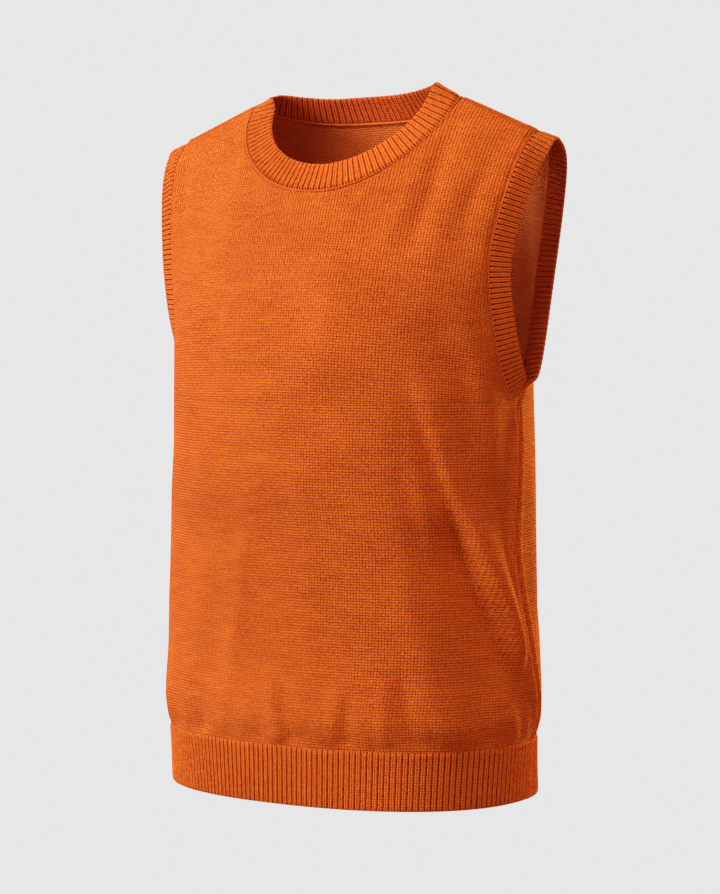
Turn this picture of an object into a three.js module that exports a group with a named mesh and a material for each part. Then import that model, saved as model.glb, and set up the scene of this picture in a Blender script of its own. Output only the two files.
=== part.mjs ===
// A knitted sweater vest: crew neck, no sleeves, ribbed neckband, armhole bands and hem, standing open in
// the form it has when worn. The front faces -Y and +X is the wearer's left. The origin lies between the
// shoulder seams at the neck. Sizes are in millimetres.
//
// Each panel is laid out as it is knitted: a place on it is a distance across, from the centre wale, and a
// share of the way up. Below the underarm the courses are horizontal rings. Above it each wale leaves the
// underarm ring and runs up over the chest or the back to the shoulder line.
import * as THREE from 'three';

// Cloth and seams
const WALL = 1.8;
const SEAM_GAP = 0.3;

// Heights
const HEM_Z = -609;
const RIB_TOP_Z = -558;
const UNDERARM_Z = -264;

// Body rings: half width, reach to the front and to the back, and how far the side seam lies behind
// the widest point. The second ring is drawn in by the rib and the third is where the cloth spills over it.
const BODY_RINGS = [
  { z: HEM_Z, halfWidth: 174.5, front: 115, back: 116, seamShift: 22 },
  { z: RIB_TOP_Z, halfWidth: 177, front: 115, back: 109, seamShift: 26 },
  { z: RIB_TOP_Z + 23, halfWidth: 182, front: 117, back: 111, seamShift: 27 },
  { z: -491, halfWidth: 182.5, front: 107, back: 108, seamShift: 14 },
  { z: -397, halfWidth: 176.5, front: 103, back: 118, seamShift: -2 },
  { z: -324, halfWidth: 171, front: 108, back: 131, seamShift: 11 },
  { z: UNDERARM_Z, halfWidth: 171, front: 104, back: 127.5, seamShift: 15 },
];
const RING_SQUARENESS = 2.25;

// Shoulder line
const SHOULDER = { neckX: 92.5, tipX: 190, slope: 0.402, crown: 47, neckY: 5.5, tipY: 18, leftRise: 4.9 };

// How the wales leave the underarm ring and reach the shoulder line, at the centre and at the tips
const DRAPE = {
  front: { rise: [183, 110.5], reach: [8, 49.5], tilt: [0.55, 0.6], towards: 1 },
  back: { rise: [132, 130], reach: [94, 57.5], tilt: [0.82, 0.2], towards: -1 },
};

// Armhole and neckline cuts
const ARMHOLE = { narrowX: 188, narrowShare: 0.63, flare: 1.7 };
// Extra hollow of the cut in the front panel at the wearer's left
const LEFT_HOLLOW = { depth: 6.5, share: 0.36, reach: 0.17 };
const NECKLINE = { centreX: 9, halfWidth: 110 };
const NECK_DEPTH = {
  front: { share: 0.598, round: 0.73 },
  back: { share: 0.203, round: 1.45 },
};

// Ribs: pitch, height of a ridge over the groove, band width, and the angle at which each side of a band
// turns away from a flat ring: the neckband stands up and the armhole bands point outwards
const HEM_RIB = { pitch: 5.15, relief: 0.9 };
const NECK_BAND = { pitch: 6, relief: 0.9, width: 26.5, front: 62, back: 57, left: 26, right: 12 };
const ARM_BAND = { pitch: 4.65, relief: 0.8, width: 20, top: 72, back: 78, under: 27 };
const ARM_BAND_FRONT = { left: 36, right: 64 };
const TURN_WIDTH = 10;
const AIM_SPAN = 14;
const CORNER_EASE = 0.6;

// Largest folds, in millimetres across the panel and up: ridges are positive, troughs negative
const FOLDS = [
  { panel: 'front', x0: 100, z0: -284, x1: 134, z1: -410, width: 11, height: 3.4 },
  { panel: 'front', x0: 134, z0: -410, x1: 184, z1: -535, width: 11, height: 3.0 },
  { panel: 'front', x0: 130, z0: -274, x1: 159, z1: -418, width: 15, height: -3.6 },
  { panel: 'front', x0: 73, z0: -303, x1: 109, z1: -491, width: 20, height: -3.0 },
  { panel: 'front', x0: -100, z0: -314, x1: -138, z1: -522, width: 18, height: 2.6 },
  { panel: 'front', x0: -63, z0: -345, x1: -86, z1: -533, width: 20, height: -2.2 },
  { panel: 'back', x0: -88, z0: -261, x1: -146, z1: -502, width: 18, height: 3.0 },
  { panel: 'back', x0: 88, z0: -282, x1: 144, z1: -522, width: 18, height: 2.8 },
  { panel: 'back', x0: -31, z0: -345, x1: -46, z1: -543, width: 22, height: -2.4 },
  { panel: 'back', x0: 36, z0: -314, x1: 52, z1: -543, width: 22, height: -2.4 },
];

// Fineness of the solids
const RING_STEPS = 48;
const BODY_ROWS = 10;
const YOKE_ROWS = 12;
const SHOULDER_COLUMNS = 5;
const NECK_COLUMNS = 18;
const NECK_CROWDING = 1.4;
const CORNER_SPREAD = 26;
const OUTER_POINTS_PER_INNER_POINT = 2;

const YARN = '#d2622a';
const RIB_YARN = '#c4562a';

function yarnMaterial(name, colour) {
  return new THREE.MeshStandardMaterial({ name, color: colour, roughness: 0.92, metalness: 0 });
}

// Smooth value of a column of the ring table at a height
function ringValue(key, z) {
  const last = BODY_RINGS.length - 1;
  let row = 0;
  while (row < last - 1 && z > BODY_RINGS[row + 1].z) {
    row += 1;
  }
  const slope = (i) => {
    const low = Math.max(i - 1, 0);
    const high = Math.min(i + 1, last);
    return (BODY_RINGS[high][key] - BODY_RINGS[low][key]) / (BODY_RINGS[high].z - BODY_RINGS[low].z);
  };
  const below = BODY_RINGS[row];
  const above = BODY_RINGS[row + 1];
  const step = above.z - below.z;
  const t = (z - below.z) / step;
  return (1 + 2 * t) * (1 - t) ** 2 * below[key] + t * (1 - t) ** 2 * step * slope(row)
    + t * t * (3 - 2 * t) * above[key] + t * t * (t - 1) * step * slope(row + 1);
}

// Half of a ring, from the front centre round the wearer's left to the back centre
const ringCache = new Map();
function ringAt(z) {
  if (!ringCache.has(z)) {
    const halfWidth = ringValue('halfWidth', z);
    const front = ringValue('front', z);
    const back = ringValue('back', z);
    const power = 2 / RING_SQUARENESS;
    const points = [];
    const lengths = [0];
    for (let i = 0; i <= 2 * RING_STEPS; i += 1) {
      const angle = (Math.PI * i) / (2 * RING_STEPS);
      const across = Math.abs(Math.sin(angle)) ** power;
      const along = Math.abs(Math.cos(angle)) ** power;
      points.push(new THREE.Vector2(halfWidth * across, i <= RING_STEPS ? -front * along : back * along));
      if (i > 0) {
        lengths.push(lengths[i - 1] + points[i].distanceTo(points[i - 1]));
      }
    }
    ringCache.set(z, { points, lengths, seam: lengths[RING_STEPS] + ringValue('seamShift', z) });
  }
  return ringCache.get(z);
}

function panelHalfWidth(panel, z) {
  const ring = ringAt(z);
  return panel === 'front' ? ring.seam : ring.lengths[2 * RING_STEPS] - ring.seam;
}

// A point on the ring at a distance across the panel
function bodyPoint(panel, x, z) {
  const ring = ringAt(z);
  const whole = ring.lengths[2 * RING_STEPS];
  const length = panel === 'front' ? Math.abs(x) : whole - Math.abs(x);
  let i = 1;
  while (i < 2 * RING_STEPS && ring.lengths[i] < length) {
    i += 1;
  }
  const t = (length - ring.lengths[i - 1]) / (ring.lengths[i] - ring.lengths[i - 1]);
  const flat = ring.points[i - 1].clone().lerp(ring.points[i], t);
  return new THREE.Vector3(flat.x * (x < 0 ? -1 : 1), flat.y, z);
}

function shoulderPoint(x) {
  const { neckX, tipX, slope, crown, neckY, tipY, leftRise } = SHOULDER;
  const fall = slope * (Math.hypot(x, crown) - Math.hypot(neckX, crown));
  const side = x / neckX;
  const rise = leftRise * side * Math.exp(0.5 * (1 - side * side));
  const out = THREE.MathUtils.clamp((Math.abs(x) - neckX) / (tipX - neckX), -0.5, 1);
  return new THREE.Vector3(x, neckY + (tipY - neckY) * out, rise - fall);
}

// A point above the underarm, at a distance across and a share of the wale's way to the shoulder line
function yokePoint(panel, x, share) {
  const half = panelHalfWidth(panel, UNDERARM_Z);
  const inside = THREE.MathUtils.clamp(x, -half, half);
  const start = bodyPoint(panel, inside, UNDERARM_Z);
  const lowerHalf = panelHalfWidth(panel, UNDERARM_Z - 12);
  const lower = bodyPoint(panel, (inside / half) * lowerHalf, UNDERARM_Z - 12);
  const upwards = start.clone().sub(lower).divideScalar(12);
  const drape = DRAPE[panel];
  const out = Math.min(Math.abs(x) / SHOULDER.tipX, 1.1) ** 2;
  const mix = (pair) => pair[0] * (1 - out) + pair[1] * out;
  const end = shoulderPoint(x);
  const over = new THREE.Vector3(0, drape.towards, mix(drape.tilt));
  const first = start.clone().addScaledVector(upwards, mix(drape.rise));
  const second = end.clone().addScaledVector(over, -mix(drape.reach));
  return new THREE.CubicBezierCurve3(start, first, second, end).getPoint(share);
}

// Soft ridges and troughs: a fold fades towards its two ends and to both sides
function foldHeight(panel, x, z) {
  let height = 0;
  for (const fold of FOLDS) {
    if (fold.panel !== panel) {
      continue;
    }
    const dx = fold.x1 - fold.x0;
    const dz = fold.z1 - fold.z0;
    const length = Math.hypot(dx, dz);
    const along = ((x - fold.x0) * dx + (z - fold.z0) * dz) / (length * length);
    const beside = ((x - fold.x0) * dz - (z - fold.z0) * dx) / length;
    const past = Math.max(0, Math.abs(along - 0.5) - 0.35) / 0.22;
    height += fold.height * Math.exp(-((beside / fold.width) ** 2) - past * past);
  }
  return height;
}

// One panel row by row: a place says how to reach its point and its place across
function panelPlaces(panel) {
  const sideInset = SEAM_GAP / 2;
  const shares = columnShares();
  const rows = [];
  const bottom = RIB_TOP_Z + SEAM_GAP / 2;
  for (let i = 0; i < BODY_ROWS; i += 1) {
    const z = bottom + ((UNDERARM_Z - bottom) * i) / BODY_ROWS;
    rows.push(shares.map((share) => ({ x: share * (panelHalfWidth(panel, z) - sideInset), z })));
  }
  const drape = DRAPE[panel];
  const depth = NECK_DEPTH[panel];
  const half = panelHalfWidth(panel, UNDERARM_Z) - sideInset;
  for (let i = 0; i <= YOKE_ROWS; i += 1) {
    const cut = armholeCut((Math.PI * i) / YOKE_ROWS, half);
    rows.push(shares.map((share, column) => {
      const turn = neckTurn(column);
      const topInset = SEAM_GAP / 2 / (3 * drape.reach[0]);
      const fall = turn === null ? 0 : Math.max(Math.cos(turn), 0);
      const top = Math.min(1 - topInset, 1 - depth.share * fall ** depth.round);
      const climbed = cut.share;
      const hollow = panel === 'front' && share > 0 ? leftHollow(climbed * top) * share ** 2 : 0;
      const place = armholeX(climbed * top, half) * share - hollow;
      const slide = topX(column) - armholeX(top, half) * share;
      return { x: place + slide * climbed ** 3, share: climbed * top };
    }));
  }
  return rows;
}

// Shares of the panel's width at its columns. The columns of the neckline's corners stand further out
// below than at the top, so that the cut never runs along a column.
function columnShares() {
  const corner = (side) => (NECKLINE.centreX + side * (NECKLINE.halfWidth + CORNER_SPREAD)) / SHOULDER.tipX;
  const right = corner(-1);
  const left = corner(1);
  const shares = [];
  for (let i = 0; i < SHOULDER_COLUMNS; i += 1) {
    shares.push(-1 + ((right + 1) * i) / SHOULDER_COLUMNS);
  }
  for (let i = 0; i <= NECK_COLUMNS; i += 1) {
    shares.push(right + ((left - right) * i) / NECK_COLUMNS);
  }
  for (let i = 1; i <= SHOULDER_COLUMNS; i += 1) {
    shares.push(left + ((1 - left) * i) / SHOULDER_COLUMNS);
  }
  return shares;
}

// Place across of a column's top end, on the neckline or on the shoulder seam
function topX(column) {
  const turn = neckTurn(column);
  if (turn !== null) {
    return NECKLINE.centreX + NECKLINE.halfWidth * Math.sin(turn);
  }
  const side = column < SHOULDER_COLUMNS ? -1 : 1;
  const corner = NECKLINE.centreX + side * NECKLINE.halfWidth;
  const steps = side < 0 ? SHOULDER_COLUMNS - column : column - SHOULDER_COLUMNS - NECK_COLUMNS;
  return corner + ((side * SHOULDER.tipX - corner) * steps) / SHOULDER_COLUMNS;
}

// Turn round the neckline of a column, from a right angle at one shoulder to one at the other. The
// columns stand closer near the shoulders, where the cut is steep.
function neckTurn(column) {
  const way = (2 * (column - SHOULDER_COLUMNS)) / NECK_COLUMNS - 1;
  if (Math.abs(way) > 1) {
    return null;
  }
  return Math.sign(way) * (Math.PI / 2) * (1 - (1 - Math.abs(way)) ** NECK_CROWDING);
}

function armholeCut(turn, half) {
  if (turn <= Math.PI / 2) {
    return {
      x: half - (half - ARMHOLE.narrowX) * Math.sin(turn),
      share: ARMHOLE.narrowShare * (1 - Math.cos(turn)),
    };
  }
  const part = turn / (Math.PI / 2) - 1;
  return {
    x: ARMHOLE.narrowX + (SHOULDER.tipX - ARMHOLE.narrowX) * part ** ARMHOLE.flare,
    share: ARMHOLE.narrowShare + (1 - ARMHOLE.narrowShare) * part,
  };
}

function armholeX(share, half) {
  const turn = share <= ARMHOLE.narrowShare
    ? Math.acos(1 - share / ARMHOLE.narrowShare)
    : (Math.PI / 2) * (1 + (share - ARMHOLE.narrowShare) / (1 - ARMHOLE.narrowShare));
  return armholeCut(turn, half).x;
}

function leftHollow(share) {
  return LEFT_HOLLOW.depth * Math.exp(-(((share - LEFT_HOLLOW.share) / LEFT_HOLLOW.reach) ** 2));
}

function placePoint(panel, place) {
  if (place.share === undefined) {
    return bodyPoint(panel, place.x, place.z);
  }
  return yokePoint(panel, place.x, place.share);
}

// Outward direction of the cloth at a place, before its folds
function placeNormal(panel, place) {
  const step = 0.5;
  const base = placePoint(panel, place);
  const side = placePoint(panel, { ...place, x: place.x + (place.x > 0 ? -step : step) });
  const up = place.share === undefined
    ? bodyPoint(panel, place.x, place.z + step)
    : yokePoint(panel, place.x, place.share + (place.share < 0.5 ? 0.003 : -0.003));
  const across = side.sub(base);
  const along = up.sub(base);
  const normal = across.cross(along).normalize();
  const centre = new THREE.Vector3(0, 0, base.z - 60);
  return normal.dot(base.clone().sub(centre)) < 0 ? normal.negate() : normal;
}

// At the shoulder seam both panels share one direction, so that their cut edges lie side by side
function seamNormal(x) {
  const front = placeNormal('front', { x, share: 1 });
  const back = placeNormal('back', { x, share: 1 });
  return front.add(back).normalize();
}

// Along the top edge that direction eases into the panel's own, round the neckline
function topNormal(x, own, turn) {
  const eased = turn === null ? 0 : Math.min((Math.PI / 2 - Math.abs(turn)) / CORNER_EASE, 1);
  return eased === 1 ? own : seamNormal(x).lerp(own, eased).normalize();
}

function panelWalls(panel) {
  const places = panelPlaces(panel);
  const outer = [];
  const inner = [];
  places.forEach((row, i) => {
    const outerRow = [];
    const innerRow = [];
    row.forEach((place, column) => {
      const point = placePoint(panel, place);
      const own = placeNormal(panel, place);
      const normal = i === places.length - 1 ? topNormal(place.x, own, neckTurn(column)) : own;
      const fold = foldHeight(panel, place.x, point.z) * edgeFade(places, i, column);
      point.addScaledVector(normal, fold);
      outerRow.push(point);
      innerRow.push(point.clone().addScaledVector(normal, -WALL / normal.dot(own)));
    });
    outer.push(outerRow);
    inner.push(innerRow);
  });
  return { outer, inner };
}

// Folds die away at the seams
function edgeFade(places, row, column) {
  const rows = Math.min(row, places.length - 1 - row) / 2;
  const columns = Math.min(column, places[0].length - 1 - column) / 2;
  return THREE.MathUtils.smoothstep(Math.min(rows, columns, 1), 0, 1);
}

// A closed shell between an outer and an inner grid, both listed so that rows run up and columns run
// anticlockwise seen from above. The inner grid may have fewer columns than the outer one.
function shellGeometry(outer, inner, closed) {
  const positions = [];
  const indices = [];
  const push = (grid) => grid.map((row) => row.map((point) => {
    positions.push(point.x, point.y, point.z);
    return positions.length / 3 - 1;
  }));
  const outside = push(outer);
  const inside = push(inner);
  const wrap = (list) => (closed ? [...list, list[0]] : list);
  const skin = (grid, flip) => {
    for (let i = 0; i + 1 < grid.length; i += 1) {
      const low = wrap(grid[i]);
      const high = wrap(grid[i + 1]);
      for (let j = 0; j + 1 < low.length; j += 1) {
        const corners = [low[j], low[j + 1], high[j + 1], high[j]];
        const order = flip ? [0, 2, 1, 0, 3, 2] : [0, 1, 2, 0, 2, 3];
        order.forEach((k) => indices.push(corners[k]));
      }
    }
  };
  skin(outside, false);
  skin(inside, true);
  rim(indices, wrap(inside[0]), wrap(outside[0]));
  rim(indices, wrap(outside[outside.length - 1]), wrap(inside[inside.length - 1]));
  if (!closed) {
    const side = (grid, end) => grid.map((row) => row[end === 'first' ? 0 : row.length - 1]);
    rim(indices, side(outside, 'first'), side(inside, 'first'));
    rim(indices, side(inside, 'last'), side(outside, 'last'));
  }
  const geometry = new THREE.BufferGeometry();
  geometry.setAttribute('position', new THREE.Float32BufferAttribute(positions, 3));
  geometry.setIndex(indices);
  geometry.computeVertexNormals();
  return geometry;
}

// Triangles between two edges that need not have the same number of points
function rim(indices, below, above) {
  let i = 0;
  let j = 0;
  while (i + 1 < below.length || j + 1 < above.length) {
    const nextBelow = (i + 1) / (below.length - 1);
    const nextAbove = (j + 1) / (above.length - 1);
    if (j + 1 >= above.length || (i + 1 < below.length && nextBelow <= nextAbove)) {
      indices.push(below[i], below[i + 1], above[j]);
      i += 1;
    } else {
      indices.push(below[i], above[j + 1], above[j]);
      j += 1;
    }
  }
}

// Point at a share of the way along a line of points
function lineLengths(points) {
  const lengths = [0];
  for (let i = 1; i < points.length; i += 1) {
    lengths.push(lengths[i - 1] + points[i].distanceTo(points[i - 1]));
  }
  return lengths;
}

function lineParameter(lengths, length) {
  let i = 1;
  while (i < lengths.length - 1 && lengths[i] < length) {
    i += 1;
  }
  return { i, t: (length - lengths[i - 1]) / (lengths[i] - lengths[i - 1]) };
}

function linePoint(points, at) {
  return points[at.i - 1].clone().lerp(points[at.i], at.t);
}

// A ridge and a groove take one step each, and a wall has an even number of ribs
function ribSteps(length, pitch) {
  return 4 * Math.round(length / pitch / 2);
}

// A ribbed wall that continues from a sewn edge, given by its outer and inner points. aim(run, point) is
// the direction of the wall's free part where the edge runs along run.
function ribbedWall(edge, rib, widths, aim) {
  const lengths = lineLengths(edge.outer);
  const whole = lengths[lengths.length - 1];
  const steps = ribSteps(whole, rib.pitch);
  const outer = widths.map(() => []);
  const inner = widths.map(() => []);
  const pointAt = (length) => linePoint(edge.outer, lineParameter(lengths, length % whole));
  for (let k = 0; k < steps; k += 1) {
    const length = (whole * k) / steps;
    const at = lineParameter(lengths, length);
    const start = linePoint(edge.outer, at);
    const under = linePoint(edge.inner, at);
    const tangent = edge.outer[at.i].clone().sub(edge.outer[at.i - 1]).normalize();
    const depth = under.clone().sub(start);
    const run = pointAt(length + AIM_SPAN).sub(pointAt(length + whole - AIM_SPAN));
    const free = aim(run, start);
    const leave = tangent.clone().cross(depth).normalize();
    if (leave.dot(free) < 0) {
      leave.negate();
    }
    const relief = k % 2 === 0 ? rib.relief : 0;
    widths.forEach((width, row) => {
      const turning = width < TURN_WIDTH ? width * (1 - width / TURN_WIDTH) ** 2 : 0;
      const travel = free.clone().multiplyScalar(width - turning).addScaledVector(leave, turning);
      const heading = width < TURN_WIDTH ? leave.clone().lerp(free, width / TURN_WIDTH).normalize() : free;
      const outward = tangent.clone().cross(heading).normalize();
      if (outward.dot(depth) > 0) {
        outward.negate();
      }
      const point = start.clone().add(travel);
      const first = row === 0;
      outer[row].push(first ? point : point.clone().addScaledVector(outward, relief));
      if (k % OUTER_POINTS_PER_INNER_POINT === 0) {
        inner[row].push(first ? under.clone().add(travel) : point.clone().addScaledVector(outward, -WALL));
      }
    });
  }
  return { outer, inner };
}

// Walls of the panels, and the sewn edges that the bands follow
const walls = { front: panelWalls('front'), back: panelWalls('back') };

// A closed line of points along the front panel's edge and back along the back panel's
function sewnEdge(pick) {
  const round = (key) => {
    const points = [...pick(walls.front[key]), ...pick(walls.back[key]).reverse()];
    return [...points, points[0]];
  };
  return { outer: round('outer'), inner: round('inner') };
}

function armholeEdge(side) {
  return sewnEdge((grid) => grid.slice(BODY_ROWS).map((row) => row[side > 0 ? row.length - 1 : 0]));
}

function neckEdge() {
  const last = SHOULDER_COLUMNS + NECK_COLUMNS;
  return sewnEdge((grid) => grid[grid.length - 1].slice(SHOULDER_COLUMNS, last + 1));
}

function mesh(name, walling, closed, material) {
  const piece = new THREE.Mesh(shellGeometry(walling.outer, walling.inner, closed), material);
  piece.name = name;
  return piece;
}

// The back panel and the left armhole run the other way round, so their rows are turned over
function turnedOver(walling) {
  const turn = (grid) => grid.map((row) => [...row].reverse());
  return { outer: turn(walling.outer), inner: turn(walling.inner) };
}

function panelMesh(panel) {
  const walling = panel === 'front' ? walls.front : turnedOver(walls.back);
  return mesh(`${panel}_panel`, walling, false, yarnMaterial('knit', YARN));
}

function hemRib(panel) {
  const top = RIB_TOP_Z - SEAM_GAP / 2;
  const heights = [HEM_Z, (HEM_Z + top) / 2, top];
  const half = panelHalfWidth(panel, top) - SEAM_GAP / 2;
  const steps = ribSteps(2 * half, HEM_RIB.pitch);
  const outer = heights.map(() => []);
  const inner = heights.map(() => []);
  for (let k = 0; k <= steps; k += 1) {
    const share = (2 * k) / steps - 1;
    heights.forEach((z, row) => {
      const place = { x: share * (panelHalfWidth(panel, z) - SEAM_GAP / 2), z };
      const point = placePoint(panel, place);
      const normal = placeNormal(panel, place);
      const relief = k % 2 === 1 ? HEM_RIB.relief : 0;
      outer[row].push(point.clone().addScaledVector(normal, relief));
      if (k % OUTER_POINTS_PER_INNER_POINT === 0) {
        inner[row].push(point.clone().addScaledVector(normal, -WALL));
      }
    });
  }
  const walling = panel === 'front' ? { outer, inner } : turnedOver({ outer, inner });
  return mesh(`${panel}_hem_rib`, walling, false, yarnMaterial('rib', RIB_YARN));
}

// Direction square to an edge and to another direction, on the side of a third one. Ribs that leave along
// it stand square to the edge.
function squareTo(run, inwards, towards) {
  const square = run.clone().cross(inwards).normalize();
  return square.dot(towards) < 0 ? square.negate() : square;
}

function turnedUp(inwards, square, angle) {
  return inwards.clone().multiplyScalar(Math.cos(angle)).addScaledVector(square, Math.sin(angle));
}

// Blend of four angles by where a direction points
function blendedAngle(weights) {
  return THREE.MathUtils.degToRad(weights.reduce((sum, [weight, angle]) => sum + weight * angle, 0));
}

function armholeBand(name, side) {
  const edge = armholeEdge(side);
  const centre = new THREE.Vector3();
  edge.outer.slice(1).forEach((point) => centre.add(point));
  centre.divideScalar(edge.outer.length - 1);
  const aim = (run, start) => {
    const inwards = new THREE.Vector3(0, -run.z, run.y).normalize();
    if (inwards.dot(centre.clone().sub(start)) < 0) {
      inwards.negate();
    }
    const square = (value) => Math.max(value, 0) ** 2;
    const angle = blendedAngle([
      [square(-inwards.z), ARM_BAND.top],
      [square(inwards.z), ARM_BAND.under],
      [square(inwards.y), side > 0 ? ARM_BAND_FRONT.left : ARM_BAND_FRONT.right],
      [square(-inwards.y), ARM_BAND.back],
    ]);
    return turnedUp(inwards, squareTo(run, inwards, new THREE.Vector3(side, 0, 0)), angle);
  };
  const widths = [SEAM_GAP, ARM_BAND.width * 0.35, ARM_BAND.width];
  const walling = ribbedWall(edge, ARM_BAND, widths, aim);
  return mesh(name, side < 0 ? walling : turnedOver(walling), true, yarnMaterial('rib', RIB_YARN));
}

function neckBand() {
  const edge = neckEdge();
  const aim = (run) => {
    const inwards = new THREE.Vector3(-run.y, run.x, 0).normalize();
    const square = (value) => Math.max(value, 0) ** 2;
    const angle = blendedAngle([
      [square(inwards.y), NECK_BAND.front],
      [square(-inwards.y), NECK_BAND.back],
      [square(-inwards.x), NECK_BAND.left],
      [square(inwards.x), NECK_BAND.right],
    ]);
    return turnedUp(inwards, squareTo(run, inwards, new THREE.Vector3(0, 0, 1)), angle);
  };
  const widths = [SEAM_GAP, NECK_BAND.width * 0.35, NECK_BAND.width];
  return mesh('neck_band', ribbedWall(edge, NECK_BAND, widths, aim), true, yarnMaterial('rib', RIB_YARN));
}

const vest = new THREE.Group();
vest.add(panelMesh('front'));
vest.add(panelMesh('back'));
vest.add(hemRib('front'));
vest.add(hemRib('back'));
vest.add(neckBand());
vest.add(armholeBand('armhole_band_left', 1));
vest.add(armholeBand('armhole_band_right', -1));

export default vest;
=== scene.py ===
"""Looks of a knitted sweater vest: stocking stitch panels with ribbed bands, filled out as when worn.

Each piece is a thin closed shell laid out as it is knitted, on the same form as its solid in the frame.
Sizes are in millimetres until a mesh is made. The front faces -Y and +X is the wearer's left.
"""

import logging
import math
from collections.abc import Callable
from dataclasses import dataclass
from enum import Enum

import bpy
import numpy as np
from mathutils import Matrix, Vector


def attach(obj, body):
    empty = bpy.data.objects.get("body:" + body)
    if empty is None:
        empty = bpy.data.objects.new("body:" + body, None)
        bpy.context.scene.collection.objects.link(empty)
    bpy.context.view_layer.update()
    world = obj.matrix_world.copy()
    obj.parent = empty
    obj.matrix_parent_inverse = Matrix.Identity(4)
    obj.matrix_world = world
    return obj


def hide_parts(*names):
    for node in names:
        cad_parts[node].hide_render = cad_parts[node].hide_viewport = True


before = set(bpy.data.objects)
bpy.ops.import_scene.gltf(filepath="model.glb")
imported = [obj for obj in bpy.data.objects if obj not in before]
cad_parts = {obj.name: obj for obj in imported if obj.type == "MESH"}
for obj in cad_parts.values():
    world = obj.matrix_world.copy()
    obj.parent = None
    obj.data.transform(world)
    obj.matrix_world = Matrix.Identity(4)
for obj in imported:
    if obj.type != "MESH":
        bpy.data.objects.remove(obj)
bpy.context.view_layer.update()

log = logging.getLogger("vest")

METRES = 0.001
Colour = tuple[float, float, float, float]
Socket = bpy.types.NodeSocket
SocketValue = Socket | float | Colour


class Panel(Enum):
    """The two knitted panels."""

    FRONT = "front"
    BACK = "back"


def smooth(values: np.ndarray) -> np.ndarray:
    """Soft step from 0 to 1 as the values go from 0 to 1."""
    t = np.clip(values, 0.0, 1.0)
    return t * t * (3 - 2 * t)


def unit(vectors: np.ndarray) -> np.ndarray:
    """The vectors, each one unit long."""
    return vectors / np.maximum(np.linalg.norm(vectors, axis=-1, keepdims=True), 1e-9)


def bell(distance: np.ndarray, width: float) -> np.ndarray:
    """A soft bump that is 1 at no distance and fades over a width."""
    return np.exp(-((distance / width) ** 2))


def path_lengths(points: np.ndarray) -> np.ndarray:
    """Length from the first of a line of points to each of them."""
    return np.concatenate([[0], np.cumsum(np.linalg.norm(np.diff(points, axis=0), axis=1))])


def on_path(place: np.ndarray, along: np.ndarray, points: np.ndarray) -> np.ndarray:
    """Points at places on a line whose own points lie at the lengths along it."""
    return np.stack([np.interp(place, along, points[:, i]) for i in range(3)], axis=-1)


def eased_steps(count: int, first: float, last: float, ramp: int = 8) -> np.ndarray:
    """Places from 0 to 1 whose steps are smaller at the two ends.

    Args:
        count: Number of steps.
        first: Size of the first step beside a middle one.
        last: Size of the last step beside a middle one.
        ramp: Steps over which the size grows.

    Returns:
        count + 1 places.
    """
    i = np.arange(count)
    rising = first + (1 - first) * i / ramp
    falling = last + (1 - last) * (count - 1 - i) / ramp
    steps = np.minimum(1.0, np.minimum(rising, falling))
    return np.concatenate([[0.0], np.cumsum(steps)]) / steps.sum()


@dataclass(frozen=True)
class BodyRing:
    """One level course of the body, seen from above."""

    z: float
    half_width: float
    front: float
    back: float
    seam_shift: float


@dataclass(frozen=True)
class Drape:
    """How the wales of a panel run from the underarm to the shoulder, at the centre and at the tips."""

    rise: tuple[float, float]
    reach: tuple[float, float]
    tilt: tuple[float, float]
    towards: float
    neck_share: float
    neck_round: float


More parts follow.
